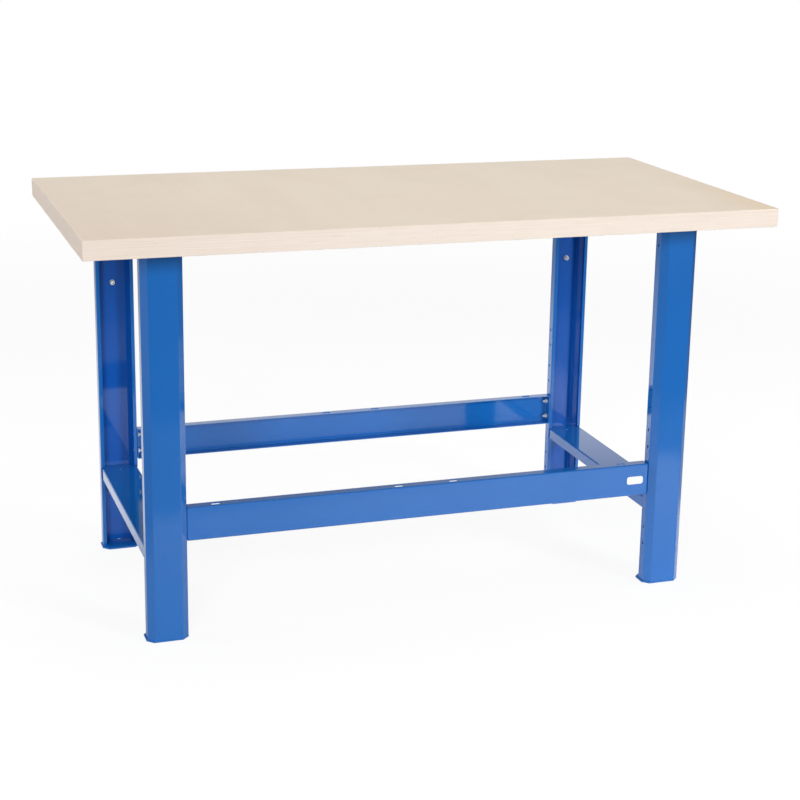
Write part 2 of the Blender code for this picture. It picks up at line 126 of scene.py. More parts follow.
class Value:
    """One shader socket that Python arithmetic works on: each operator adds a Math node."""

    def __init__(self, graph: "Graph", socket: bpy.types.NodeSocket) -> None:
        """Keep the graph and the socket."""
        self.graph = graph
        self.socket = socket

    def math(self, operation: str, *others: Number) -> "Value":
        """Return the result of one Math node.

        Args:
            operation: The node's operation.
            others: The second and third operand.

        Returns:
            The node's value.
        """
        values = {place: item for place, item in enumerate((self, *others))}
        return self.graph.node("ShaderNodeMath", {"operation": operation}, values)["Value"]

    def __add__(self, other: Number) -> "Value":
        """Return the sum."""
        return self.math("ADD", other)

    __radd__ = __add__

    def __sub__(self, other: Number) -> "Value":
        """Return the difference."""
        return self.math("SUBTRACT", other)

    def __rsub__(self, other: float) -> "Value":
        """Return a number less this value."""
        return (self * -1.0) + other

    def __mul__(self, other: Number) -> "Value":
        """Return the product."""
        return self.math("MULTIPLY", other)

    __rmul__ = __mul__

    def __abs__(self) -> "Value":
        """Return the absolute value."""
        return self.math("ABSOLUTE")

    def rise(self, low: float, high: float) -> "Value":
        """Return a smooth step that goes from 0 at low to 1 at high.

        Args:
            low: Where the step starts.
            high: Where the step ends.

        Returns:
            The step's value.
        """
        span = {"Value": self, "From Min": low, "From Max": high}
        return self.graph.node("ShaderNodeMapRange", {"interpolation_type": "SMOOTHSTEP"}, span)["Result"]

    def step(self, place: float, half: float) -> "Value":
        """Return a smooth step about a place, with half of its width."""
        return self.rise(place - half, place + half)

    def within(self, low: float, high: float) -> "Value":
        """Return the value held between two limits."""
        return self.math("MAXIMUM", low).math("MINIMUM", high)


class Outputs:
    """The output sockets of one node."""

    def __init__(self, graph: "Graph", node: bpy.types.Node) -> None:
        """Keep the graph and the node."""
        self.graph = graph
        self.node = node

    def __getitem__(self, key: Union[str, int]) -> Value:
        """Return one output as a value."""
        return Value(self.graph, self.node.outputs[key])


class Graph:
    """The node tree of one material or of the world."""

    def __init__(self, tree: bpy.types.NodeTree) -> None:
        """Start from an empty tree."""
        self.tree = tree
        tree.nodes.clear()

    @classmethod
    def of_material(cls, name: str) -> tuple[Material, "Graph"]:
        """Make a new material.

        Args:
            name: The material's name.

        Returns:
            The material and its graph, still empty.
        """
        material = bpy.data.materials.new(name)
        material.use_nodes = True
        return material, cls(material.node_tree)

    def node(self, kind: str, settings: Mapping[str, Any] | None = None,
             inputs: Mapping[Union[str, int], Any] | None = None) -> Outputs:
        """Add one node.

        Args:
            kind: The node's type.
            settings: What is set on the node first.
            inputs: Values or links of its sockets, by name or place.

        Returns:
            The node's outputs.
        """
        node = self.tree.nodes.new(kind)
        for key, value in (settings or {}).items():
            setattr(node, key, value)
        for key, value in (inputs or {}).items():
            if isinstance(value, Value):
                self.tree.links.new(value.socket, node.inputs[key])
            else:
                node.inputs[key].default_value = value
        return Outputs(self, node)

    def place(self, kind: str = "Object") -> Value:
        """Return a texture coordinate."""
        return self.node("ShaderNodeTexCoord")[kind]

    def attribute(self, name: str) -> Value:
        """Return a number stored on the mesh."""
        return self.node("ShaderNodeAttribute", {"attribute_name": name})["Fac"]

    def rays(self) -> tuple[Value, Value, Value]:
        """Tell the rays apart.

        Returns:
            What is 1 for rays from the eye, from gloss and from matt surfaces.
        """
        path = self.node("ShaderNodeLightPath")
        eye = path["Is Camera Ray"].math("MAXIMUM", path["Is Transmission Ray"])
        return eye, path["Is Glossy Ray"] * (1.0 - eye), path["Is Diffuse Ray"] * (1.0 - eye)

    def split(self, vector: Value) -> tuple[Value, Value, Value]:
        """Return the three parts of a vector."""
        parts = self.node("ShaderNodeSeparateXYZ", None, {0: vector})
        return parts["X"], parts["Y"], parts["Z"]

    def join(self, x: Number, y: Number, z: Number) -> Value:
        """Return a vector from three values."""
        return self.node("ShaderNodeCombineXYZ", None, {0: x, 1: y, 2: z})["Vector"]

    def grey(self, strength: Value) -> Value:
        """Return a grey of the given strength."""
        return self.join(strength, strength, strength)

    def noise(self, place: Value, scale: float, detail: float = 2.0, roughness: float = 0.5) -> Value:
        """Return smooth noise about 0.5.

        Args:
            place: Where the noise is read.
            scale: How many waves go to one unit of place.
            detail: How many finer waves are added.
            roughness: How strong the finer waves are.

        Returns:
            The noise.
        """
        sockets = {"Vector": place, "Scale": scale, "Detail": detail, "Roughness": roughness}
        return self.node("ShaderNodeTexNoise", None, sockets)["Fac"]

    def mix(self, share: Number, first: Union[Value, Colour], second: Union[Value, Colour]) -> Value:
        """Mix two colours.

        Args:
            share: The share of the second colour.
            first: The first colour.
            second: The second colour.

        Returns:
            The mix.
        """
        colours = [item if isinstance(item, Value) else (*item, 1.0) for item in (first, second)]
        sockets = {0: share, 6: colours[0], 7: colours[1]}
        return self.node("ShaderNodeMix", {"data_type": "RGBA"}, sockets)[2]

    def dim(self, colour: Value, strength: Number) -> Value:
        """Return a colour made lighter or darker by a factor."""
        sockets = {0: colour, 3: strength}
        return self.node("ShaderNodeVectorMath", {"operation": "SCALE"}, sockets)["Vector"]

    def tint(self, colour: Value, share: Number, filter_colour: Colour) -> Value:
        """Return a colour that is partly seen through a coloured film."""
        sockets = {0: share, 6: colour, 7: (*filter_colour, 1.0)}
        return self.node("ShaderNodeMix", {"data_type": "RGBA", "blend_type": "MULTIPLY"}, sockets)[2]

    def bump(self, height: Value, strength: float, distance: float) -> Value:
        """Return a normal that follows a height."""
        sockets = {"Height": height, "Strength": strength, "Distance": distance}
        return self.node("ShaderNodeBump", None, sockets)["Normal"]

    def surface(self, inputs: Mapping[str, Any]) -> None:
        """End a material in one Principled shader."""
        shader = self.node("ShaderNodeBsdfPrincipled", None, inputs)["BSDF"]
        self.node("ShaderNodeOutputMaterial", None, {"Surface": shader})


# Finishes

@dataclass(frozen=True)
class EnamelFinish:
    """Glossy blue stove enamel, with a faint orange peel, thinner paint on the cut edges and painted shade
    inside the legs.
    """

    colour: Colour = (0.0086, 0.139, 0.487)
    deep: Colour = (0.0074, 0.131, 0.467)
    edge: Colour = (0.030, 0.180, 0.520)
    # Darker blue for the inner face of the legs: painted shade inside their channels.
    inside: Colour = (0.0060, 0.097, 0.440)
    ior: float = 1.5
    coat: float = 0.35
    coat_roughness: float = 0.03
    gloss: float = 0.05
    gloss_spread: float = 0.04
    cloud_scale: float = 5.0
    peel_scale: float = 260.0
    peel_strength: float = 0.035
    peel_depth: float = 0.0004
    speck_scale: float = 1400.0
    speck_tone: float = 0.06
    speck_gloss: float = 0.02

    def make(self) -> Material:
        """Make the finish.

        Returns:
            The material.
        """
        material, graph = Graph.of_material("blue_enamel")
        place = graph.place()
        cloud = graph.noise(place, self.cloud_scale, 3.0)
        peel = graph.noise(place, self.peel_scale, 1.0)
        speck = graph.noise(place, self.speck_scale, 2.0)
        cut, inside = graph.attribute("cut_edge"), graph.attribute("inside")
        colour = graph.mix(cloud.rise(0.3, 0.7), self.colour, self.deep)
        # Painted shade: the inner face of a leg takes the darker inside blue.
        colour = graph.mix(inside, colour, self.inside)
        colour = graph.mix(cut * (0.3 + speck * 0.5), colour, self.edge)
        colour = graph.dim(colour, 1.0 - self.speck_tone / 2 + speck * self.speck_tone)
        rough = self.gloss + self.gloss_spread * cloud.rise(0.35, 0.75) + speck * self.speck_gloss
        normal = graph.bump(peel * 0.8 + speck * 0.2, self.peel_strength, self.peel_depth)
        graph.surface({"Base Color": colour, "Roughness": rough, "Normal": normal, "IOR": self.ior,
                       "Coat Weight": self.coat, "Coat Roughness": self.coat_roughness})
        return material


@dataclass(frozen=True)
class MultiplexFinish:
    """Pale multiplex: veneers with grain turned by turns, glue lines and flecks, under a thin clear coat."""

    underside: float
    thickness: float
    plies: int = 15
    skin: float = 0.0009
    light: Colour = (0.912, 0.811, 0.724)
    dark: Colour = (0.840, 0.734, 0.642)
    face_tint: Colour = (0.937, 0.921, 0.860)
    blush: Colour = (0.955, 0.895, 0.880)
    amber: Colour = (0.960, 0.895, 0.775)
    fleck: Colour = (0.470, 0.345, 0.245)
    turn_shift: float = 3.71
    figure_waves: Triple = (2.2, 9.0, 30.0)
    fibre_waves: Triple = (9.0, 420.0, 420.0)
    streak_waves: Triple = (10.0, 10.0, 330.0)
    pore_waves: Triple = (55.0, 750.0, 750.0)
    mark_waves: Triple = (20.0, 130.0, 300.0)
    mottle_scale: float = 9.0
    cloud_scale: float = 4.5
    pore_edge: Pair = (0.66, 0.76)
    mark_edge: Pair = (0.70, 0.78)
    streak_tone: float = 0.62
    figure_tone: float = 0.30
    fibre_tone: float = 0.16
    face_tone: float = 0.28
    end_tone: float = 0.015
    mottle_tone: float = 0.02
    glue_tone: float = 0.02
    cloud_tone: float = 0.13
    pore_tone: float = 0.05
    mark_tone: float = 0.26
    mark_face_tone: float = 0.13
    gloss: float = 0.42
    gloss_spread: float = 0.12
    fibre_strength: float = 0.10
    fibre_depth: float = 0.0003
    ior: float = 1.42

    @staticmethod
    def grain(graph: Graph, parts: Sequence[Value], waves: Triple, shift: Mapping[int, Value], detail: float,
              roughness: float = 0.5) -> Value:
        """Return noise that is stretched along the grain and moved on from ply to ply.

        Args:
            graph: The material's graph.
            parts: The place along the grain, across it and up.
            waves: How many waves go to a metre of each.
            shift: How far a part is moved, by its number.
            detail: How many finer waves are added.
            roughness: How strong the finer waves are.

        Returns:
            The noise.
        """
        spots = [part * wave for part, wave in zip(parts, waves)]
        for number, step in shift.items():
            spots[number] = spots[number] + step
        return graph.noise(graph.join(*spots), 1.0, detail, roughness)

    def make(self) -> Material:
        """Make the finish.

        Returns:
            The material.
        """
        material, graph = Graph.of_material("pale_multiplex")
        place = graph.place()
        x, y, z = graph.split(place)
        face_x, face_y, face_z = (abs(part) for part in graph.split(graph.place("Normal")))
        edge = (1.0 - face_z).rise(0.3, 0.7)
        face = 1.0 - edge
        height = (z - self.underside).within(self.skin, self.thickness - self.skin)
        stack = height * (self.plies / self.thickness)
        layer = stack.math("FLOOR")
        turned = 1.0 - layer.math("MODULO", 2.0)
        along = x + (y - x) * turned
        across = y + (x - y) * turned
        shift = layer * self.turn_shift
        parts = along, across, z
        figure = self.grain(graph, parts, self.figure_waves, {2: shift}, 3.0, 0.55)
        fibre = self.grain(graph, parts, self.fibre_waves, {0: shift}, 3.0, 0.6)
        streak = self.grain(graph, (x, y, z), self.streak_waves, {2: shift}, 2.0, 0.6)
        mottle = graph.noise(place, self.mottle_scale, 3.0, 0.6)
        pores = self.grain(graph, parts, self.pore_waves, {1: shift}, 1.0).rise(*self.pore_edge)
        marks = self.grain(graph, parts, self.mark_waves, {0: shift}, 1.0).rise(*self.mark_edge)
        tone = streak.rise(0.25, 0.75) * edge * self.streak_tone + figure.rise(0.3, 0.7) * self.figure_tone
        tone = tone + fibre * self.fibre_tone + face * self.face_tone
        colour = graph.mix(tone, self.light, self.dark)
        end_grain = face_x * (1.0 - turned) + face_y * turned
        glue = abs(stack.math("FRACT") - 0.5).rise(0.44, 0.5) * edge
        lost = mottle.rise(0.4, 0.8) * self.mottle_tone
        colour = graph.dim(colour, 1.0 - end_grain * self.end_tone - lost - glue * self.glue_tone)
        colour = graph.tint(colour, face, self.face_tint)
        cloud = graph.noise(place, self.cloud_scale, 2.0).rise(0.45, 0.75)
        front = (y * -1.0).rise(-0.2, 0.375)
        lean = 0.3 + face * (front * 0.6 - 0.18)
        left = (x * -1.0).rise(0.1, 0.8)
        colour = graph.tint(colour, cloud * self.cloud_tone + left * lean, self.blush)
        colour = graph.tint(colour, x.rise(0.60, 0.77) * front * face, self.amber)
        fleck = pores * self.pore_tone + marks * (self.mark_tone - face * self.mark_face_tone)
        colour = graph.mix(fleck, colour, self.fleck)
        rough = self.gloss + fibre * self.gloss_spread + end_grain * self.gloss_spread
        normal = graph.bump(fibre * 0.7 - pores * 0.6, self.fibre_strength, self.fibre_depth)
        graph.surface({"Base Color": colour, "Roughness": rough, "Normal": normal, "IOR": self.ior})
        return material


@dataclass(frozen=True)
class ZincFinish:
    """Bright zinc plating with faint clouds of passivation."""

    bright: Colour = (0.86, 0.88, 0.87)
    warm: Colour = (0.80, 0.78, 0.70)
    cool: Colour = (0.68, 0.74, 0.78)
    metal: float = 0.5
    gloss: float = 0.24
    gloss_spread: float = 0.16
    cloud_scale: float = 190.0
    grain_scale: float = 2600.0
    grain_strength: float = 0.12
    grain_depth: float = 0.0001

    def make(self) -> Material:
        """Make the finish.

        Returns:
            The material.
        """
        material, graph = Graph.of_material("bright_zinc")
        place = graph.place()
        cloud = graph.noise(place, self.cloud_scale, 2.0)
        grain = graph.noise(place, self.grain_scale, 2.0)
        colour = graph.mix(cloud.rise(0.45, 0.75), self.bright, self.warm)
        colour = graph.mix((1.0 - cloud).rise(0.55, 0.8), colour, self.cool)
        rough = self.gloss + grain * self.gloss_spread
        normal = graph.bump(grain, self.grain_strength, self.grain_depth)
        graph.surface({"Base Color": colour, "Metallic": self.metal, "Roughness": rough, "Normal": normal})
        return material


@dataclass(frozen=True)
class LabelFinish:
    """Blank white film, a little duller towards its rim."""

    white: Colour = (0.86, 0.87, 0.88)
    dull: Colour = (0.70, 0.72, 0.75)
    gloss: float = 0.26
    gloss_spread: float = 0.14
    cloud_scale: float = 120.0
    grain_scale: float = 1500.0
    grain_strength: float = 0.06
    grain_depth: float = 0.0001

    def make(self) -> Material:
        """Make the finish.

        Returns:
            The material.
        """
        material, graph = Graph.of_material("white_film")
        place = graph.place()
        cloud = graph.noise(place, self.cloud_scale, 2.0)
        grain = graph.noise(place, self.grain_scale, 2.0)
        rim = graph.attribute("cut_edge")
        colour = graph.mix(rim * 0.8 + cloud.rise(0.5, 0.9) * 0.15, self.white, self.dull)
        rough = self.gloss + grain * self.gloss_spread
        normal = graph.bump(grain, self.grain_strength, self.grain_depth)
        graph.surface({"Base Color": colour, "Roughness": rough, "Normal": normal})
        return material


@dataclass(frozen=True)
class FloorFinish:
    """Pale studio floor: white to the eye, with the bench's soft shadow kept.

    In gloss it is a bright pool of light round the bench that falls off in two steps towards the front. Each
    edge of the pool is a place and half of the width over which it fades.
    """

    pale: Colour = (0.82, 0.82, 0.82)
    paper_scale: float = 40.0
    glow: float = 0.888
    share: float = 0.17
    near: float = 2.2
    far: float = 5.0
    lit_share: float = 1.18
    soft_share: float = 0.3
    own_share: float = 0.115
    rear_share: float = 0.70
    rear_corner: float = 0.70
    rear_slope: float = 0.60
    bounce: float = 0.82
    dim_level: float = 0.16
    apron_level: float = 0.36
    side_level: float = 0.50
    pool_level: float = 0.70
    pool_gain: float = 0.54
    apron_front: Pair = (-1.75, 0.2)
    apron_slope: float = 0.15
    side_front: Pair = (-0.6, 0.3)
    side_right: Pair = (1.95, 0.12)
    pool_front: Pair = (-1.05, 0.09)
    pool_slope: float = -0.09
    pool_left: Pair = (-1.15, 0.2)
    pool_right: Pair = (1.07, 0.10)
    pool_rear: Pair = (2.65, 0.45)
    pool_rear_drop: float = 0.6

    def make(self) -> Material:
        """Make the finish.

        Returns:
            The material.
        """
        material, graph = Graph.of_material("pale_floor")
        place = graph.place()
        x, y, _ = graph.split(place)
        eye, glossy, soft = graph.rays()
        level = self.level(x, y)
        # In gloss the floor glows more behind the bench as painted light, but stays dim towards the rear
        # right as painted shadow of the bench.
        behind = (y - (x + self.rear_corner) * self.rear_slope).rise(0.1, 0.6)
        own = self.own_share + behind * (self.rear_share - self.own_share)
        away = (x * x + y * y).math("SQRT").rise(self.near, self.far) * eye
        paper = 0.98 + graph.noise(place, self.paper_scale, 3.0) * 0.04
        dimmed = eye * (1.0 - self.share) + glossy * (1.0 - level * self.lit_share)
        matt = paper * (1.0 - (dimmed + soft * (1.0 - self.soft_share))) * (1.0 - away)
        # For matt rays the floor glows within the pool: painted light that lights the bench from below.
        bounce = soft * (level - self.apron_level).within(0.0, 1.0) * self.bounce
        glow = (eye * self.glow + glossy * level * own + bounce) * (1.0 - away) + away
        graph.surface({"Base Color": graph.dim(graph.join(*self.pale), matt), "Roughness": 1.0,
                       "Specular IOR Level": 0.0, "Emission Color": graph.grey(glow),
                       "Emission Strength": 1.0})
        return material

    def level(self, x: Value, y: Value) -> Value:
        """Work out how bright the floor is in gloss: a pool round the bench, a dimmer apron and a dim rest.

        Args:
            x: The place along X.
            y: The place along Y.

        Returns:
            The brightness.
        """
        inside = 1.0 - x.step(*self.side_right)
        beside = x.step(*self.pool_right)
        apron = (y - x * self.apron_slope).step(*self.apron_front) * inside
        side = y.step(*self.side_front) * beside * inside
        pool = (y - x * self.pool_slope).step(*self.pool_front) * (1.0 - beside)
        pool = pool * x.step(*self.pool_left) * (1.0 - y.step(*self.pool_rear) * self.pool_rear_drop)
        bright = self.pool_level + self.pool_gain * x.rise(-0.9, 0.5)
        level = self.dim_level + apron * (self.apron_level - self.dim_level)
        return level + side * (self.side_level - self.apron_level) + pool * (bright - self.apron_level)


# Meshes

@dataclass(frozen=True)
class Axes:
    """A local frame: a point is origin + u times U + v times V + w times W."""

    origin: Triple
    u: Triple
    v: Triple
    w: Triple

    @cached_property
    def turn(self) -> Array:
        """Return the three directions as the rows of a matrix."""
        return np.array((self.u, self.v, self.w), float)

    @property
    def left_handed(self) -> bool:
        """Return whether the frame is left-handed."""
        return float(np.linalg.det(self.turn)) < 0.0

    def points(self, local: Array) -> Array:
        """Return local points in the shared frame."""
        return local @ self.turn + np.array(self.origin)

    def directions(self, local: Array) -> Array:
        """Return local directions in the shared frame."""
        return local @ self.turn


@dataclass(frozen=True)
class Dresser:
    """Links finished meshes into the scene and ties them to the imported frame."""

    finishes: Mapping[Slot, Material]

    def piece(self, mesh: Mesh, node: str | None, slot: Slot) -> None:
        """Make a piece that stands for one CAD node or adds to one.

        Args:
            mesh: The finished mesh, in the shared frame.
            node: The CAD node that the piece replaces, if any.
            slot: The record's material slot.
        """
        mesh.materials.append(self.finishes[slot])
        piece = bpy.data.objects.new(mesh.name, mesh)
        bpy.context.scene.collection.objects.link(piece)
        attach(piece, BODY)
        if node:
            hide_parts(node)
        LOG.info("piece %s: %d faces", piece.name, len(mesh.polygons))


def mesh_of(name: str, points: Array, faces: Iterable[Sequence[int]]) -> Mesh:
    """Make a mesh.

    Args:
        name: The mesh's name.
        points: Its points, one row each.
        faces: Its faces, as point numbers.

    Returns:
        The mesh.
    """
    mesh = bpy.data.meshes.new(name)
    mesh.from_pydata(points.tolist(), [], list(faces))
    mesh.update()
    return mesh


def smooth(mesh: Mesh) -> Mesh:
    """Shade a mesh smooth, except at its sharp edges.

    Args:
        mesh: The mesh.

    Returns:
        The same mesh.
    """
    mesh.shade_smooth()
    mesh.set_sharp_from_angle(angle=SMOOTH_ANGLE)
    return mesh


def stacked(flat: Array, height: Array) -> Array:
    """Return flat rings, one for each height, as rows of three numbers."""
    level = np.broadcast_to(height[:, None, None], (*flat.shape[:2], 1))
    return np.concatenate([flat, level], axis=2).reshape(-1, 3)


def set_points(mesh: Mesh, name: str, values: Array) -> None:
    """Store one number for each point of a mesh."""
    mesh.attributes.new(name, "FLOAT", "POINT").data.foreach_set("value", values.astype(np.float32))


def set_normals(mesh: Mesh, point_normals: Array, exact: Array) -> None:
    """Give the exact faces the normals of their formula and leave the others flat.

    Args:
        mesh: The mesh.
        point_normals: One normal for each face and corner, as worked out.
        exact: True for each face that takes these normals.
    """
    mesh.polygons.foreach_set("use_smooth", np.ones(len(mesh.polygons), bool))
    flat = np.zeros(len(mesh.polygons) * 3)
    mesh.polygons.foreach_get("normal", flat)
    corners = np.zeros(len(mesh.polygons), int)
    mesh.polygons.foreach_get("loop_total", corners)
    own = np.repeat(flat.reshape(-1, 3), corners, axis=0)
    normals = np.where(np.repeat(exact, corners)[:, None], point_normals, own)
    mesh.normals_split_custom_set(normals.tolist())


def ring_faces(rings: int, around: int, flip: bool, joined: bool = False) -> list[list[int]]:
    """Return quads between closed rings of equal count, with flat caps or joined end to start.

    Args:
        rings: How many rings there are.
        around: How many points a ring has.
        flip: Whether the quads run the other way round.
        joined: Whether the last ring joins the first, in place of caps.

    Returns:
        The faces as lists of point numbers.
    """
    first = np.arange(rings if joined else rings - 1)[:, None]
    second = (first + 1) % rings
    here = np.arange(around)[None, :]
    after = (here + 1) % around
    quads = np.stack([first * around + here, first * around + after,
                      second * around + after, second * around + here], axis=-1).reshape(-1, 4)
    faces = (quads[:, ::-1] if flip else quads).tolist()
    if not joined:
        low = np.arange(around)
        high = low + (rings - 1) * around
        faces += [(low if flip else low[::-1]).tolist(), (high[::-1] if flip else high).tolist()]
    return faces


def single(values: Array) -> Array:
    """Return numbers rounded to single precision, as Blender keeps them, so that equal points stay equal."""
    return values.astype(np.float32).astype(float) + 0.0


def circle(centre: Pair, radius: float, steps: int = 40) -> Array:
    """Return a hole's outline, with the sheet on its left: centre plus radius times (cos, -sin)."""
    turn = np.linspace(0.0, 2 * np.pi, steps, endpoint=False)
    return np.array(centre) + radius * np.stack([np.cos(turn), -np.sin(turn)], axis=1)


def round_rectangle(centre: Pair, length: float, width: float, corner: float, steps: int = 8) -> Array:
    """Return a rectangle with round corners, anticlockwise.

    Each quarter is the corner's centre plus the corner radius times (cos, sin) over a quarter turn.

    Args:
        centre: Its middle.
        length: Its size along the first axis.
        width: Its size along the second axis.
        corner: The radius of its corners.
        steps: How many parts a corner has.

    Returns:
        The points, one row each.
    """
    sign = np.repeat(QUARTERS, steps + 1, axis=0)
    turn = (np.arange(4)[:, None] + np.linspace(0.0, 1.0, steps + 1)[None, :]).ravel() * RIGHT_ANGLE
    middle = np.array([length / 2 - corner, width / 2 - corner])
    return np.array(centre) + sign * middle + corner * np.stack([np.cos(turn), np.sin(turn)], axis=1)


# Folded sheet

@dataclass(frozen=True)
class HalfSection:
    """Half of a symmetric folded section, from its middle outwards, measured on the outer face.

    Each run is (length, turn). A run without a turn is a flat, and any other is an arc of that length.
    """

    runs: tuple[Pair, ...]
    bend_steps: int = 8

    @cached_property
    def starts(self) -> tuple[Array, Array, Array, Array]:
        """Add the runs up.

        Returns:
            Length, angle, place and curvature at the start of each run.
        """
        lengths, turns = np.array(self.runs, float).T
        reach = np.concatenate([[0.0], np.cumsum(lengths)])
        angle = np.concatenate([[0.0], np.cumsum(turns)])
        bend = turns / lengths
        steps = self.travel(angle[:-1], lengths, bend)
        place = np.concatenate([np.zeros((1, 2)), np.cumsum(steps, axis=0)])
        return reach, angle, place, bend

    @staticmethod
    def travel(angle: Array, length: Array, bend: Array) -> Array:
        """Return the step made along runs.

        On a flat the step is length times (cos a, sin a). On an arc of curvature k it is
        ((sin(a + k s) - sin a) / k, (cos a - cos(a + k s)) / k).

        Args:
            angle: The direction at the start.
            length: How far the step goes.
            bend: The curvature.

        Returns:
            The steps along and inwards.
        """
        arc = np.abs(bend) > 0.0
        safe = np.where(arc, bend, 1.0)
        end = angle + bend * length
        curved = np.stack([np.sin(end) - np.sin(angle), np.cos(angle) - np.cos(end)], axis=-1)
        straight = np.stack([np.cos(angle), np.sin(angle)], axis=-1) * length[..., None]
        return np.where(arc[..., None], curved / safe[..., None], straight)

    @property
    def half(self) -> float:
        """Return the length of the half section."""
        return float(self.starts[0][-1])

    def reach(self, run: int) -> float:
        """Return where a run starts."""
        return float(self.starts[0][run])

    def lines(self) -> Array:
        """Find the bend lines, on both sides of the middle.

        Returns:
            Their places, in order.
        """
        reach = self.starts[0]
        parts = [np.linspace(reach[run], reach[run + 1], self.bend_steps + 1)
                 for run, (_, turn) in enumerate(self.runs) if turn]
        lines = np.concatenate(parts) if parts else np.zeros(0)
        return np.unique(np.concatenate([-lines, lines]).round(9))

    def place(self, spot: Array) -> tuple[Array, Array, Array, Array]:
        """Fold points of the flat blank up.

        Args:
            spot: Where the points are on the blank, from its middle.

        Returns:
            Place along, depth inwards, and the outward normal's two parts.
        """
        reach, angle, place, bend = self.starts
        far = np.abs(spot)
        run = np.clip(np.searchsorted(reach, far, side="right") - 1, 0, len(self.runs) - 1)
        rest = far - reach[run]
        point = place[run] + self.travel(angle[run], rest, bend[run])
        turn = angle[run] + bend[run] * rest
        side = np.where(spot < 0.0, -1.0, 1.0)
        return side * point[:, 0], point[:, 1], side * np.sin(turn), -np.cos(turn)


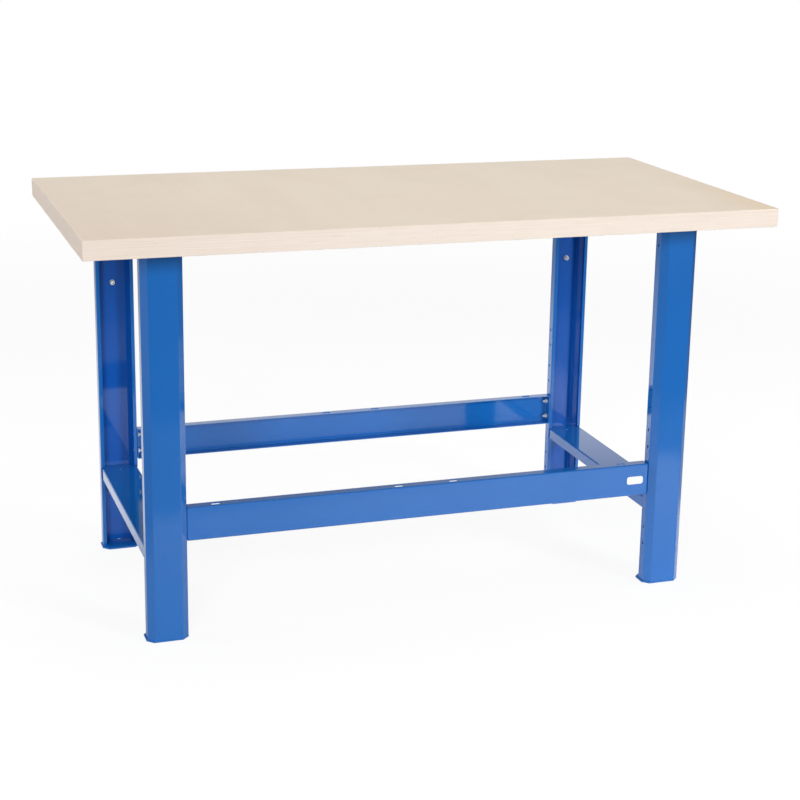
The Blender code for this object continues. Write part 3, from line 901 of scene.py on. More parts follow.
@dataclass(frozen=True)
class Blank:
    """A flat blank of sheet with holes, and the two sections that fold it up.

    The blank's point (s, t) goes to u = along(s), v = along(t) and w = depth(s) + depth(t), because no
    point is on a bend of both. The inner face lies one thickness further in along the normal.
    """

    across: HalfSection
    along: HalfSection
    outline: Array
    holes: tuple[Array, ...]
    thickness: float
    # How much painted shade the inner face takes, in the enamel's darker inside blue.
    inner_tone: float = 0.0
    edge_break: float = 0.0002

    def split(self, loop: Array) -> Array:
        """Return an outline with a point wherever it crosses a bend line.

        A point is kept as edge number plus share of that edge, so sorting these puts the crossings in order.

        Args:
            loop: The outline's corners.

        Returns:
            All points of the outline.
        """
        ends = np.roll(loop, -1, axis=0)
        keys = [np.arange(len(loop), dtype=float)]
        for axis, lines in enumerate((self.across.lines(), self.along.lines())):
            step = ends[:, axis] - loop[:, axis]
            safe = np.where(np.abs(step) > SAME_POINT, step, np.inf)
            share = (lines[None, :] - loop[:, axis, None]) / safe[:, None]
            edge, line = np.nonzero((share > SAME_POINT) & (share < 1.0 - SAME_POINT))
            keys.append(edge + share[edge, line])
        keys = np.unique(np.concatenate(keys).round(9))
        index = keys.astype(int)
        return loop[index] + (keys - index)[:, None] * (ends - loop)[index]

    def inset(self, loop: Array) -> Array:
        """Move an outline into the sheet by the edge break, along the mitre of its corners.

        The step is the edge break times the sum of both edges' normals, over one plus their product.

        Args:
            loop: The outline.

        Returns:
            The moved outline.
        """
        step = np.roll(loop, -1, axis=0) - loop
        step /= np.linalg.norm(step, axis=1)[:, None]
        left = np.stack([-step[:, 1], step[:, 0]], axis=1)
        before = np.roll(left, 1, axis=0)
        share = 1.0 + np.sum(left * before, axis=1)
        return loop + self.edge_break * (left + before) / share[:, None]

    def inside(self, spots: Array, loops: Sequence[Array]) -> Array:
        """Find which points are in the sheet: a ray from them crosses outlines an odd number of times.

        Args:
            spots: The points.
            loops: The outlines.

        Returns:
            True for each point in the sheet.
        """
        start = np.concatenate(loops)
        end = np.concatenate([np.roll(loop, -1, axis=0) for loop in loops])
        low, high = start[None, :, 1] > spots[:, 1, None], end[None, :, 1] > spots[:, 1, None]
        rise = np.where(start[:, 1] == end[:, 1], np.inf, end[:, 1] - start[:, 1])
        share = (spots[:, 1, None] - start[None, :, 1]) / rise[None, :]
        meets = start[None, :, 0] + share * (end - start)[None, :, 0]
        crossed = (low != high) & (spots[:, 0, None] < meets)
        return np.sum(crossed, axis=1) % 2 == 1

    def triangles(self, loops: Sequence[Array]) -> tuple[Array, Array]:
        """Cut the blank's face into triangles that keep its outlines and bend lines.

        Args:
            loops: The outlines, outer one first.

        Returns:
            Points and triangles of the flat face.
        """
        points = np.concatenate(loops)
        counts = np.array([len(loop) for loop in loops])
        begin = np.repeat(np.cumsum(counts) - counts, counts)
        number = np.arange(len(points))
        after = begin + (number - begin + 1) % np.repeat(counts, counts)
        low, high = points.min(axis=0), points.max(axis=0)
        over, up = self.across.lines(), self.along.lines()
        ends = np.concatenate([
            np.stack([np.tile(over, 2), np.repeat([low[1], high[1]], len(over))], axis=1),
            np.stack([np.repeat([low[0], high[0]], len(up)), np.tile(up, 2)], axis=1)])
        over_start = len(points) + np.arange(len(over))
        up_start = len(points) + 2 * len(over) + np.arange(len(up))
        edges = np.concatenate([np.stack([number, after], axis=1),
                                np.stack([over_start, over_start + len(over)], axis=1),
                                np.stack([up_start, up_start + len(up)], axis=1)])
        spots = np.concatenate([points, ends])
        made = delaunay_2d_cdt([Vector(spot) for spot in spots.tolist()], edges.tolist(), [], 0, SAME_POINT)
        flat = np.array([tuple(spot) for spot in made[0]], float) + 0.0
        cells = np.array(made[2], int)
        return flat, cells[self.inside(flat[cells].mean(axis=1), loops)]

    def fold(self, spots: Array, depth: Array, axes: Axes) -> tuple[Array, Array]:
        """Return points of the folded sheet and its outward normals there.

        Args:
            spots: Points of the flat blank.
            depth: How far below the outer face each lies.
            axes: The frame that the sheet is folded in.

        Returns:
            Points and normals in the shared frame.
        """
        u, deep_s, normal_u, facing_s = self.across.place(spots[:, 0])
        v, deep_t, normal_v, facing_t = self.along.place(spots[:, 1])
        normal = np.stack([normal_u, normal_v, facing_s + facing_t + 1.0], axis=1)
        point = np.stack([u, v, deep_s + deep_t], axis=1) - depth[:, None] * normal
        return axes.points(point), axes.directions(normal)

    def build(self, name: str, axes: Axes) -> Mesh:
        """Fold the blank up into a closed sheet with broken edges.

        Layers 0 and 3 are the outer and inner face, drawn in by the edge break. Layers 1 and 2 are the cut
        edge between them.

        Args:
            name: The mesh's name.
            axes: The frame that the sheet is folded in.

        Returns:
            The mesh.
        """
        cuts = [single(self.split(loop)) for loop in (self.outline, *self.holes)]
        drawn_in = [single(self.inset(loop)) for loop in cuts]
        flat, cells = self.triangles(drawn_in)
        rows = [np.column_stack([flat, np.full(len(flat), layer)]) for layer in (0, 3)]
        quads = []
        count = 2 * len(flat)
        for true, inner in zip(cuts, drawn_in):
            rings = [np.column_stack([loop, np.full(len(loop), layer)])
                     for layer, loop in enumerate((inner, true, true, inner))]
            size = len(true)
            ring = np.arange(size)
            band = np.stack([ring, (ring + 1) % size, (ring + 1) % size + size, ring + size], axis=1)
            quads += [band + count + size * layer for layer in range(3)]
            rows += rings
            count += 4 * size
        table, index = np.unique(np.concatenate(rows), axis=0, return_inverse=True)
        index = index.ravel()
        layer = table[:, 2].astype(int)
        depth = np.array([0.0, self.edge_break, self.thickness - self.edge_break, self.thickness])[layer]
        points, normals = self.fold(table[:, :2], depth, axes)
        outer, inner, rims = index[cells], index[cells + len(flat)], index[np.concatenate(quads)]
        if axes.left_handed:
            inner, rims = inner[:, ::-1], rims[:, ::-1]
        else:
            outer = outer[:, ::-1]
        mesh = mesh_of(name, points, outer.tolist() + inner.tolist() + rims.tolist())
        set_points(mesh, "cut_edge", ((layer == 1) | (layer == 2)).astype(float))
        # The inside attribute carries the painted shade of the inner face.
        set_points(mesh, "inside", (layer == 3) * self.inner_tone)
        corners = np.concatenate([normals[outer.ravel()], -normals[inner.ravel()], normals[rims.ravel()]])
        faces = np.arange(len(mesh.polygons))
        set_normals(mesh, corners, faces < len(outer) + len(inner))
        return mesh


# Sub-assemblies

@dataclass(frozen=True)
class Sheet:
    """The steel sheet and its bends."""

    thickness: float = 0.002
    bend: float = 0.003
    gap: float = 0.0003
    relief: float = 0.0005

    def arc(self, turn: float) -> Pair:
        """Return the run of one bend."""
        return self.bend * turn, turn

    @property
    def half_bend_tangent(self) -> float:
        """Return how far a bend of half a right angle reaches from its corner."""
        return self.bend * math.tan(HALF_RIGHT / 2)


@dataclass
class Worktop:
    """The multiplex panel with eased edges."""

    edge: float = 0.0008
    corner: float = 0.0014
    steps: int = 6

    def build(self, dresser: Dresser) -> None:
        """Make the panel: a round-cornered outline carried over quarter-round edges.

        Args:
            dresser: What links the pieces.
        """
        low, high = (np.array(corner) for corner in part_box("worktop"))
        turn = np.concatenate([np.linspace(-RIGHT_ANGLE, 0.0, self.steps + 1),
                               np.linspace(0.0, RIGHT_ANGLE, self.steps + 1)])
        middle = (low + high) / 2
        size = high - low
        outer = round_rectangle((middle[0], middle[1]), size[0], size[1], self.corner, self.steps)
        around = np.tile(np.linspace(0.0, 1.0, self.steps + 1), 4).reshape(4, -1) + np.arange(4)[:, None]
        facing = around.ravel() * RIGHT_ANGLE
        outward = np.stack([np.cos(facing), np.sin(facing)], axis=1)
        draw = self.edge * (1.0 - np.cos(turn))
        flat = outer[None] - draw[:, None, None] * outward[None]
        level = np.where(np.arange(len(turn)) <= self.steps, low[2] + self.edge, high[2] - self.edge)
        normals = stacked(outward[None] * np.cos(turn)[:, None, None], np.sin(turn))
        faces = ring_faces(len(turn), len(outer), flip=False)
        mesh = mesh_of("worktop_panel", stacked(flat, level + self.edge * np.sin(turn)), faces)
        corners = np.zeros(len(mesh.loops), int)
        mesh.loops.foreach_get("vertex_index", corners)
        set_normals(mesh, normals[corners], np.ones(len(faces), bool))
        dresser.piece(mesh, "worktop", Slot.MULTIPLEX)


@dataclass
class EndFrame:
    """Two legs with foot plates, the tie and the bearer between them, and the worktop screws."""

    side: Side
    sheet: Sheet = field(default_factory=Sheet)
    chamfer: float = 0.014
    lip: float = 0.0085
    depth: float = 0.0385
    bolt_line: float = 0.0245
    bolt_hole: float = 0.0035
    pair_heights: tuple[float, ...] = (0.113, 0.252, 0.3465, 0.441)
    pair_half: float = 0.020
    top_hole_drop: float = 0.057
    insert_height: float = 0.642
    insert_hole: float = 0.0055
    notch_clearance: float = 0.001
    drain: Pair = (0.007, 0.0004)
    tie_flange: float = 0.025
    tie_hole: float = 0.004
    tie_hole_inset: float = 0.038
    screw_hole: float = 0.003
    screw_inset: float = 0.070
    screws: int = 4
    foot_edge: float = 0.0006
    foot_steps: int = 5
    foot_shift: float = -0.0014

    def section(self, width: float) -> HalfSection:
        """Work out the half section of a leg: web, folded corner, flange and lip.

        Args:
            width: The leg's width.

        Returns:
            The half section.
        """
        tangent = self.sheet.half_bend_tangent
        web = width / 2 - self.chamfer - tangent
        corner = self.chamfer * math.sqrt(2.0) - 2 * tangent
        flange = self.depth - self.chamfer - tangent - self.sheet.bend
        return HalfSection(((web, 0.0), self.sheet.arc(HALF_RIGHT), (corner, 0.0), self.sheet.arc(HALF_RIGHT),
                            (flange, 0.0), self.sheet.arc(RIGHT_ANGLE), (self.lip - self.sheet.bend, 0.0)))

    def leg(self, end: End, dresser: Dresser) -> None:
        """Make one leg from its blank, with notched lips, bolt holes and the drain at its foot.

        Args:
            end: Which leg it is.
            dresser: What links the pieces.
        """
        node = f"leg_{end.word}_{self.side.word}"
        low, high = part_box(node)
        section = self.section(high.x - low.x)
        lip_start, edge = section.reach(5) - self.sheet.relief, section.half
        _, tie_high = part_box(f"lower_tie_{self.side.word}")
        bearer_low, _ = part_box(f"top_bearer_{self.side.word}")
        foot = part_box(f"foot_plate_{end.word}_{self.side.word}")[1].z
        gap = self.notch_clearance
        notch_low, notch_high = tie_high.z - self.tie_flange - gap, tie_high.z + gap
        right = [(edge, foot), (edge, notch_low), (lip_start, notch_low), (lip_start, notch_high),
                 (edge, notch_high), (edge, bearer_low.z - gap), (lip_start, bearer_low.z - gap),
                 (lip_start, high.z)]
        half, rise = self.drain[0] / 2, self.drain[1]
        drain = [(-half, foot), (-half, foot + rise), (half, foot + rise), (half, foot)]
        outline = np.array(drain + right + [(-s, t) for s, t in reversed(right)], float)
        inner = self.side.value * end.value
        flange = section.reach(4) + self.bolt_line - self.chamfer - self.sheet.half_bend_tangent
        heights = [high.z - self.top_hole_drop]
        heights += [middle + level.value * self.pair_half for middle in self.pair_heights for level in Level]
        holes = [circle((inner * flange, height), self.bolt_hole) for height in heights]
        if end is End.REAR:
            holes.append(circle((0.0, self.insert_height), self.insert_hole))
        straight = HalfSection(((high.z * 2, 0.0),))
        middle, turn = (low.x + high.x) / 2, end.inward
        axes = Axes((middle, end.face(low, high), 0.0), (turn, 0, 0), (0, 0, 1), (0, turn, 0))
        # A leg's inner face takes the full painted shade inside its channel.
        blank = Blank(section, straight, outline, tuple(holes), self.sheet.thickness, inner_tone=1.0)
        dresser.piece(blank.build(f"leg_sheet_{end.word}_{self.side.word}", axes), node, Slot.STEEL)

    def foot_plate(self, end: End, dresser: Dresser) -> None:
        """Make the eight-sided plate: its outline carried over eased edges.

        Args:
            end: Which leg it is under.
            dresser: What links the pieces.
        """
        node = f"foot_plate_{end.word}_{self.side.word}"
        low, high = (np.array(corner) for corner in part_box(node))
        middle, half, cut = (low + high) / 2 + (self.foot_shift, 0, 0), (high - low) / 2, self.chamfer
        sign = np.repeat(QUARTERS, 2, axis=0)
        trim = np.array([(0, cut), (cut, 0), (cut, 0), (0, cut), (0, cut), (cut, 0), (cut, 0), (0, cut)])
        outline = middle[:2] + sign * (half[:2] - trim)
        turn = np.linspace(0.0, RIGHT_ANGLE, self.foot_steps)
        draw = self.foot_edge * (1.0 - np.concatenate([np.cos(turn[::-1]), np.cos(turn)]))
        height = np.concatenate([low[2] + self.foot_edge * (1.0 - np.sin(turn[::-1])),
                                 high[2] - self.foot_edge * (1.0 - np.sin(turn))])
        toward = -sign / np.linalg.norm(sign, axis=1)[:, None]
        points = stacked(outline[None] + draw[:, None, None] * toward[None], height)
        faces = ring_faces(len(height), len(outline), flip=False)
        mesh = mesh_of(f"foot_{end.word}_{self.side.word}", points, faces)
        dresser.piece(smooth(mesh), node, Slot.STEEL)

    def tray(self, node: str, name: str, spots: Sequence[float], radius: float, dresser: Dresser) -> None:
        """Make a tie or bearer: a flat top with its long sides turned down.

        Args:
            node: The CAD node.
            name: The piece's name.
            spots: Where its holes are along Y.
            radius: The holes' radius.
            dresser: What links the pieces.
        """
        low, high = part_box(node)
        half = (high.x - low.x) / 2
        flat = self.tie_flange - self.sheet.bend
        section = HalfSection(((half - self.sheet.bend, 0.0), self.sheet.arc(RIGHT_ANGLE), (flat, 0.0)))
        edge = section.half
        outline = np.array([(-edge, low.y), (edge, low.y), (edge, high.y), (-edge, high.y)], float)
        holes = tuple(circle((0.0, spot), radius) for spot in spots)
        straight = HalfSection(((1.0, 0.0),))
        axes = Axes(((low.x + high.x) / 2, 0.0, high.z), (1, 0, 0), (0, 1, 0), (0, 0, -1))
        blank = Blank(section, straight, outline, holes, self.sheet.thickness)
        dresser.piece(blank.build(name, axes), node, Slot.STEEL)

    def build(self, dresser: Dresser) -> None:
        """Make all pieces of the end frame.

        Args:
            dresser: What links the pieces.
        """
        word = self.side.word
        for end in End:
            self.leg(end, dresser)
            self.foot_plate(end, dresser)
        low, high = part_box(f"lower_tie_{word}")
        spots = (low.y + self.tie_hole_inset, high.y - self.tie_hole_inset)
        self.tray(f"lower_tie_{word}", f"tie_sheet_{word}", spots, self.tie_hole, dresser)
        places = np.linspace(low.y + self.screw_inset, high.y - self.screw_inset, self.screws)
        self.tray(f"top_bearer_{word}", f"bearer_sheet_{word}", places.tolist(), self.screw_hole, dresser)
        for number in range(1, self.screws + 1):
            Screw().build(f"worktop_screw_{word}_{number}", f"screw_{word}_{number}", dresser)
        Insert().build(f"upright_insert_{word}", f"insert_{word}", dresser)


@dataclass
class RailSet:
    """One long rail with its end tabs, slots, bolts and nuts."""

    end: End
    sheet: Sheet = field(default_factory=Sheet)
    bolt_depth: float = 0.010
    bolt_hole: float = 0.0035
    bolt_rise: float = 0.020
    slot_size: Triple = (0.019, 0.0095, 0.003)
    slot_places: tuple[float, ...] = (-0.469, -0.063, 0.063, 0.469)
    seam_steps: int = 7
    seam_start: float = 0.08
    seam_lap: float = 0.0001

    def half(self, size: float, depth: float) -> HalfSection:
        """Return half of a section that is turned in at its end."""
        bend = self.sheet.bend
        return HalfSection(((size / 2 - bend, 0.0), self.sheet.arc(RIGHT_ANGLE), (depth - bend, 0.0)))

    def rail(self, dresser: Dresser) -> None:
        """Make the rail from a cross-shaped blank whose four sides are turned in.

        Args:
            dresser: What links the pieces.
        """
        node = f"{self.end.word}_rail"
        low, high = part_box(node)
        size = high - low
        length, height = self.half(size.x, size.y), self.half(size.z, size.y)
        relief = self.sheet.relief
        far_s, near_s = length.half, length.reach(1) - relief
        far_t, near_t = height.half, height.reach(1) - relief
        quarter = [(near_s, -far_t), (near_s, -near_t), (far_s, -near_t)]
        right = quarter + [(s, -t) for s, t in reversed(quarter)]
        outline = np.array(right + [(-s, t) for s, t in reversed(right)], float)
        tab = length.reach(2) + self.bolt_depth - self.sheet.bend
        holes = [circle((side.value * tab, level.value * self.bolt_rise), self.bolt_hole)
                 for side in Side for level in Level]
        flange = height.reach(2) + size.y / 2 - self.sheet.bend
        holes += [round_rectangle((place, flange), *self.slot_size)[::-1] for place in self.slot_places]
        middle, turn = (low.z + high.z) / 2, self.end.inward
        axes = Axes((0.0, self.end.face(low, high), middle), (turn, 0, 0), (0, 0, 1), (0, turn, 0))
        blank = Blank(length, height, outline, tuple(holes), self.sheet.thickness)
        dresser.piece(blank.build(f"rail_sheet_{self.end.word}", axes), node, Slot.STEEL)

    def seam(self, side: Side, level: Level, dresser: Dresser) -> None:
        """Make the ground weld that closes one corner between a turned-in side and an end tab.

        A ring at depth w is a square corner with an arc outside. Its radius is the bend times sin a where
        w is the bend times (1 - cos a), and the full bend from there to the rear, so the front is an eighth
        of a ball.

        Args:
            side: The end of the rail.
            level: The upper or the lower side.
            dresser: What links the pieces.
        """
        low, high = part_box(f"{self.end.word}_rail")
        size, bend = high - low, self.sheet.bend
        rise = np.linspace(self.seam_start, RIGHT_ANGLE, self.seam_steps)
        depth = np.append(bend * (1.0 - np.cos(rise)), size.y)
        radius = np.append(bend * np.sin(rise), bend)[:, None]
        turn = np.linspace(0.0, RIGHT_ANGLE, self.seam_steps)[None, :]
        back = np.full_like(radius, -self.sheet.relief - self.seam_lap)
        over = np.concatenate([radius, radius * np.cos(turn), back, back], axis=1) + size.x / 2 - bend
        up = np.concatenate([back, radius * np.sin(turn), radius, back], axis=1) + size.z / 2 - bend
        deep = np.broadcast_to(depth[:, None], over.shape)
        axes = Axes((0.0, self.end.face(low, high), (low.z + high.z) / 2),
                    (side.value, 0, 0), (0, 0, level.value), (0, self.end.inward, 0))
        points = axes.points(np.stack([over, up, deep], axis=-1).reshape(-1, 3))
        name = f"seam_{self.end.word}_{side.word}_{level.word}"
        mesh = mesh_of(name, points, ring_faces(len(depth), over.shape[1], axes.left_handed))
        dresser.piece(smooth(mesh), None, Slot.STEEL)

    def build(self, dresser: Dresser) -> None:
        """Make the rail, its seams and its fasteners.

        Args:
            dresser: What links the pieces.
        """
        self.rail(dresser)
        for side in Side:
            for level in Level:
                self.seam(side, level, dresser)
                spot = f"{self.end.word}_{side.word}_{level.word}"
                Bolt(side=side).build(f"rail_bolt_{spot}", f"bolt_{spot}", dresser)
                Nut(side=side).build(f"rail_nut_{spot}", f"nut_{spot}", dresser)


@dataclass
class Turned:
    """A zinc-plated fastener round its own axis, with rings that may close on themselves round a bore."""

    around: int = 48
    crest: float = 0.12
    bored: bool = False

    @property
    def turns(self) -> Array:
        """Return the angles round the axis, as one row."""
        return np.linspace(0.0, 2 * np.pi, self.around, endpoint=False)[None, :]

    @property
    def ways(self) -> tuple[Triple, Triple, Triple]:
        """Return the directions of U, V and W, with W along the fastener."""
        return (1, 0, 0), (0, 1, 0), (0, 0, 1)

    def rings(self, length: float) -> tuple[Array, Array]:
        """Return radius and height for each ring and step, from low to high on the outside."""
        raise NotImplementedError

    def build(self, node: str, name: str, dresser: Dresser) -> None:
        """Make the fastener from its node's end on: u = radius times cos, v = radius times sin, w = height.

        Args:
            node: The CAD node.
            name: The piece's name.
            dresser: What links the pieces.
        """
        low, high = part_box(node)
        sides = list(zip(self.ways[2], low, high, (low + high) / 2))
        start = tuple(middle if not way else base if way > 0 else top for way, base, top, middle in sides)
        axes = Axes(start, *self.ways)
        radius, height = self.rings(sum(abs(way) * (top - base) for way, base, top, _ in sides))
        level = np.broadcast_to(height.reshape(len(radius), -1), radius.shape)
        local = np.stack([radius * np.cos(self.turns), radius * np.sin(self.turns), level], axis=-1)
        faces = ring_faces(len(radius), self.around, axes.left_handed, self.bored)
        mesh = mesh_of(name, axes.points(local.reshape(-1, 3)), faces)
        dresser.piece(smooth(mesh), node, Slot.ZINC)

    def thread(self, height: Array, radius: float, pitch: float, depth: float) -> Array:
        """Work out a thread: its radius is a flattened triangle wave of height over pitch less the turn.

        Args:
            height: The heights.
            radius: The radius of the crests.
            pitch: The height of one turn.
            depth: The depth of the grooves.

        Returns:
            One radius for each height and step round the axis.
        """
        phase = np.mod(height[:, None] / pitch - self.turns / (2 * np.pi), 1.0)
        wave = (np.abs(2.0 * phase - 1.0) - self.crest) / (1.0 - 2 * self.crest)
        return radius - depth * np.clip(wave, 0.0, 1.0)


@dataclass
class Hexagon(Turned):
    """A hexagon fastener along X with chamfered corners."""

    side: Side = Side.LEFT
    around: int = 36
    width: float = 0.010
    chamfer: float = 0.0009
    chamfer_steps: int = 5
    chamfer_start: float = 0.47
    chamfer_slope: float = 1.7

    @property
    def ways(self) -> tuple[Triple, Triple, Triple]:
        """Return the directions, with W from the outer end to the middle of the bench."""
        return (0, 0, 1), (0, 1, 0), (-self.side.value, 0, 0)

    @property
    def corner(self) -> Array:
        """Return heights over the chamfer."""
        return np.linspace(0.0, self.chamfer, self.chamfer_steps)

    def outside(self, off_face: Array) -> Array:
        """Return the radius at heights off a face: the lesser of hexagon and chamfer cone.

        The hexagon's radius is half its width over cos of the angle off the flat.

        Args:
            off_face: The heights off the nearest face.

        Returns:
            One radius for each height and step round the axis.
        """
        off = np.mod(self.turns, np.pi / 3) - np.pi / 6
        cone = self.width * self.chamfer_start + off_face[:, None] * self.chamfer_slope
        return np.minimum(self.width / 2 / np.cos(off), cone)


@dataclass
class Bolt(Hexagon):
    """A hexagon bolt with a chamfered head and a cut thread."""

    head: float = 0.004
    radius: float = 0.003
    pitch: float = 0.001
    pitch_steps: int = 8
    thread_depth: float = 0.0006
    tip: float = 0.0006

    def rings(self, length: float) -> tuple[Array, Array]:
        """Work out a chamfered hexagon head, then a thread that is drawn in at its tip.

        Args:
            length: The fastener's length.

        Returns:
            Radius and height for each ring and step.
        """
        head = np.append(self.corner, self.head)
        seat = np.full((1, self.around), self.radius - self.thread_depth)
        rows = np.arange(self.head, length, self.pitch / self.pitch_steps)
        shank = self.thread(rows, self.radius, self.pitch, self.thread_depth)
        shank = np.minimum(shank, (self.radius - self.tip + length - rows)[:, None])
        return np.concatenate([self.outside(head), seat, shank]), np.concatenate([head, [self.head], rows])


@dataclass
class Nut(Hexagon):
    """A hexagon nut with chamfered corners and a countersunk bore."""

    bored: bool = True
    bore: float = 0.0033
    sink: float = 0.0005

    def rings(self, length: float) -> tuple[Array, Array]:
        """Work out the hexagon with both its chamfers, then the bore with its countersinks.

        Args:
            length: The fastener's length.

        Returns:
            Radius and height for each ring and step.
        """
        rise = np.concatenate([self.corner, length - self.corner[::-1]])
        outside = self.outside(np.minimum(rise, length - rise))
        inner_rise = np.array([length, length - self.sink, self.sink, 0.0])
        inside = np.array([self.bore + self.sink, self.bore, self.bore, self.bore + self.sink])
        radius = np.concatenate([outside, np.broadcast_to(inside[:, None], (4, self.around))])
        return radius, np.concatenate([rise, inner_rise])


@dataclass
class Insert(Turned):
    """A crimped threaded insert in the web of a rear leg."""

    bored: bool = True
    rim: float = 0.001
    rim_radius: float = 0.0070
    neck_radius: float = 0.0052
    bulge_radius: float = 0.0066
    bulge: float = 0.003
    bulge_steps: int = 9
    bulge_power: float = 0.6
    ease: float = 0.0003
    bore: float = 0.0034
    bore_inset: float = 0.0004
    pitch: float = 0.001
    pitch_steps: int = 6
    thread_depth: float = 0.0004
    sheet: Sheet = field(default_factory=Sheet)

    @property
    def ways(self) -> tuple[Triple, Triple, Triple]:
        """Return the directions, with W from the rear to the front."""
        return (1, 0, 0), (0, 0, 1), (0, -1, 0)

    def rings(self, length: float) -> tuple[Array, Array]:
        """Work out rim, neck, a half-sine bulge behind the sheet, tail, and a threaded bore.

        Args:
            length: The fastener's length.

        Returns:
            Radius and height for each ring and step.
        """
        inside = self.rim + self.sheet.thickness + 2 * self.sheet.gap
        rim, neck, ease = self.rim_radius, self.neck_radius, self.ease
        swell = np.linspace(0.0, 1.0, self.bulge_steps)
        bulge = neck + (self.bulge_radius - neck) * np.sin(np.pi * swell) ** self.bulge_power
        outside = np.array([(rim - ease, 0.0), (rim, ease), (rim, self.rim - ease), (rim - ease, self.rim),
                            (neck, self.rim)])
        crimp = np.column_stack([bulge, inside + swell * self.bulge])
        tail = np.array([(neck, length - ease), (neck - ease, length)])
        rows = np.arange(length - self.bore_inset, self.bore_inset, -self.pitch / self.pitch_steps)
        thread = 2 * self.bore - self.thread(rows, self.bore, self.pitch, self.thread_depth)
        thread = np.minimum(thread, self.bore + self.thread_depth) - self.thread_depth
        profile = np.concatenate([outside, crimp, tail])
        radius = np.concatenate([np.broadcast_to(profile[:, :1], (len(profile), self.around)), thread])
        return radius, np.concatenate([profile[:, 1], rows])


@dataclass
class Screw(Turned):
    """A worktop screw with a pan head, a cross recess and a coarse thread."""

    head: float = 0.003
    head_radius: float = 0.0055
    head_rings: int = 20
    head_start: float = 0.02
    crown: float = 0.65
    neck: float = 0.0004
    radius: float = 0.0025
    pitch: float = 0.0018
    pitch_steps: int = 8
    thread_depth: float = 0.0007
    point: float = 0.005
    point_share: float = 0.08
    recess: float = 0.0019
    recess_half: float = 0.0007
    recess_reach: float = 0.0026
    recess_power: float = 0.35

    def rings(self, length: float) -> tuple[Array, Array]:
        """Work out a crowned head less a cross-shaped recess, then a thread that runs to a point.

        The crown falls by its share of the head times the share of radius to the fourth power, and the
        recess is its depth times two bars across the head that run out.

        Args:
            length: The fastener's length.

        Returns:
            Radius and height for each ring and step.
        """
        share = np.linspace(self.head_start, 1.0, self.head_rings)[:, None]
        radius = np.broadcast_to(share * self.head_radius, (self.head_rings, self.around))
        across, up = radius * np.cos(self.turns), radius * np.sin(self.turns)
        bar = np.minimum(np.abs(across), np.abs(up)) < self.recess_half
        run_out = np.clip(1.0 - radius / self.recess_reach, 0.0, 1.0) ** self.recess_power
        crown = self.head * self.crown * share ** 4 + self.recess * bar * run_out
        rows = np.arange(self.head + self.neck, length, self.pitch / self.pitch_steps)
        shank = self.thread(rows, self.radius, self.pitch, self.thread_depth)
        point = np.clip((length - rows) / self.point, self.point_share, 1.0)[:, None]
        under = np.full((2, self.around), self.radius - self.thread_depth)
        under[0] = self.head_radius
        level = np.concatenate([crown, np.full((2, self.around), self.head),
                                np.broadcast_to(rows[:, None], shank.shape)])
        return np.concatenate([radius, under, shank * point]), level


@dataclass
class Label:
    """The blank label on the front rail."""

    corner: float = 0.0055
    margin: float = 0.0008
    ease: float = 0.00025
    rim: float = 0.001
    rim_tones: tuple[float, ...] = (1.0, 1.0, 0.6, 0.0)

    def build(self, dresser: Dresser) -> None:
        """Make the label: a round-cornered outline carried over an eased front edge.

        Args:
            dresser: What links the pieces.
        """
        low, high = (np.array(corner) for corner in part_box("label_plate"))
        middle, size = (low + high) / 2, high - low - 2 * self.margin
        spots = ((high[1], 0.0), (low[1] + self.ease, 0.0), (low[1], self.ease), (low[1], self.rim))
        rings = [round_rectangle((middle[0], middle[2]), size[0] - 2 * draw, size[2] - 2 * draw,
                                 self.corner - draw) for _, draw in spots]
        points = [np.insert(ring, 1, level, axis=1) for ring, (level, _) in zip(rings, spots)]
        faces = ring_faces(len(spots), len(rings[0]), flip=False)
        mesh = mesh_of("blank_label", np.concatenate(points), faces)
        set_points(mesh, "cut_edge", np.repeat(self.rim_tones, len(rings[0])))
        dresser.piece(mesh, "label_plate", Slot.LABEL)


# Studio

@dataclass(frozen=True)
class Softbox:
    """One soft lamp, aimed at the bench."""

    name: str
    place: Triple
    aim: Triple
    size: Pair
    power: float

    def build(self) -> None:
        """Make the lamp."""
        lamp = bpy.data.lights.new(self.name, "AREA")
        lamp.shape = "RECTANGLE"
        lamp.size, lamp.size_y = self.size
        lamp.energy = self.power
        holder = bpy.data.objects.new(self.name, lamp)
        holder.location = self.place
        holder.rotation_euler = (Vector(self.aim) - Vector(self.place)).to_track_quat("-Z", "Y").to_euler()
        holder.visible_camera = False
        holder.visible_glossy = False
        bpy.context.scene.collection.objects.link(holder)


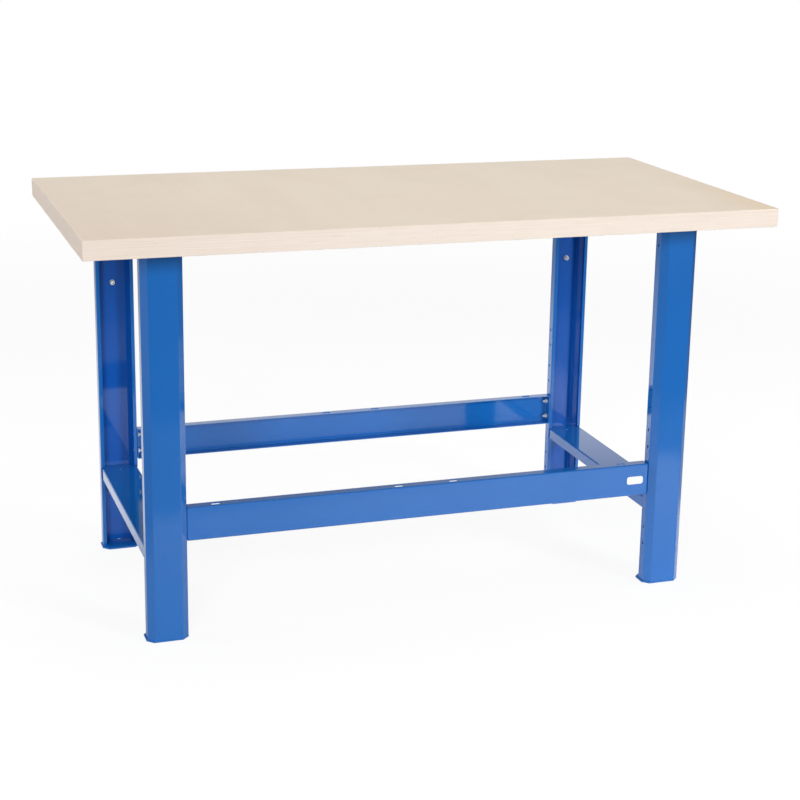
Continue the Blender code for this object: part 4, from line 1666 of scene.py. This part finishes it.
@dataclass(frozen=True)
class Studio:
    """Floor, lamps, surroundings and the camera of the photograph."""

    floor_half: float = 40.0
    floor_drop: float = 0.0002
    ambient: float = 0.12
    horizon: float = 1.12
    zenith: float = 0.28
    backdrop_edge: Pair = (0.290, 0.342)
    camera_place: Triple = (-1.232792, -3.701965, 1.560333)
    camera_turn: Triple = (74.863719, -1.095309, -19.202161)
    camera_lens: float = 79.8127
    camera_sensor: float = 36.0
    camera_shift: Pair = (-0.0319547, -0.0491400)
    lamps: tuple[Softbox, ...] = (
        Softbox("front_softbox", (-3.8, -7.4, 3.35), (0.0, 0.0, 0.5), (2.1, 2.6), 336.0),
        Softbox("right_softbox", (3.6, -5.6, 2.55), (0.0, 0.0, 0.5), (1.7, 2.0), 231.0),
        Softbox("left_softbox", (-4.4, 0.9, 0.8), (0.0, 0.0, 0.6), (2.4, 1.2), 64.0),
        Softbox("side_softbox", (3.0, -0.6, 2.9), (0.4, 0.0, 0.3), (2.2, 2.2), 31.0),
        Softbox("top_softbox", (-0.5, 0.4, 3.6), (-0.2, 0.1, 0.9), (3.0, 2.2), 46.5),
    )

    def floor(self) -> None:
        """Make the pale floor."""
        half, low = self.floor_half, -self.floor_drop
        corners = np.array([(-half, -half, low), (half, -half, low), (half, half, low), (-half, half, low)])
        mesh = mesh_of("studio_floor", corners, [(0, 1, 2, 3)])
        mesh.materials.append(FloorFinish().make())
        floor = bpy.data.objects.new("studio_floor", mesh)
        bpy.context.scene.collection.objects.link(floor)

    def world(self) -> None:
        """Make white surroundings for the eye, a backdrop that dims upwards for gloss, and an even light."""
        world = bpy.data.worlds.new("studio_world")
        world.use_nodes = True
        graph = Graph(world.node_tree)
        eye, glossy, _ = graph.rays()
        _, _, up = graph.split(graph.place("Generated"))
        backdrop = self.horizon - up.rise(*self.backdrop_edge) * (self.horizon - self.zenith)
        strength = self.ambient + eye * (1.0 - self.ambient) + glossy * (backdrop - self.ambient)
        light = graph.node("ShaderNodeBackground", None, {"Color": graph.grey(strength), "Strength": 1.0})
        graph.node("ShaderNodeOutputWorld", None, {"Surface": light["Background"]})
        bpy.context.scene.world = world

    def camera(self) -> None:
        """Set the camera where the photograph was taken from."""
        data = bpy.data.cameras.new("photo_camera")
        data.sensor_width = self.camera_sensor
        data.lens = self.camera_lens
        data.shift_x, data.shift_y = self.camera_shift
        holder = bpy.data.objects.new("photo_camera", data)
        holder.location = self.camera_place
        holder.rotation_euler = Euler([math.radians(turn) for turn in self.camera_turn], "XYZ")
        bpy.context.scene.collection.objects.link(holder)
        bpy.context.scene.camera = holder

    def build(self) -> None:
        """Make the whole studio."""
        self.floor()
        self.world()
        for lamp in self.lamps:
            lamp.build()
        self.camera()
        bpy.context.scene.view_settings.view_transform = "Standard"


def main() -> None:
    """Build the studio and every sub-assembly in order."""
    logging.basicConfig(level=logging.INFO, format="%(name)s: %(message)s")
    low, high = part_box("worktop")
    wood = MultiplexFinish(low.z, high.z - low.z)
    dresser = Dresser({Slot.MULTIPLEX: wood.make(), Slot.STEEL: EnamelFinish().make(),
                       Slot.ZINC: ZincFinish().make(), Slot.LABEL: LabelFinish().make()})
    Studio().build()
    Worktop().build(dresser)
    for side in Side:
        EndFrame(side).build(dresser)
    for end in End:
        RailSet(end).build(dresser)
    Label().build(dresser)


if __name__ == "__main__":
    main()
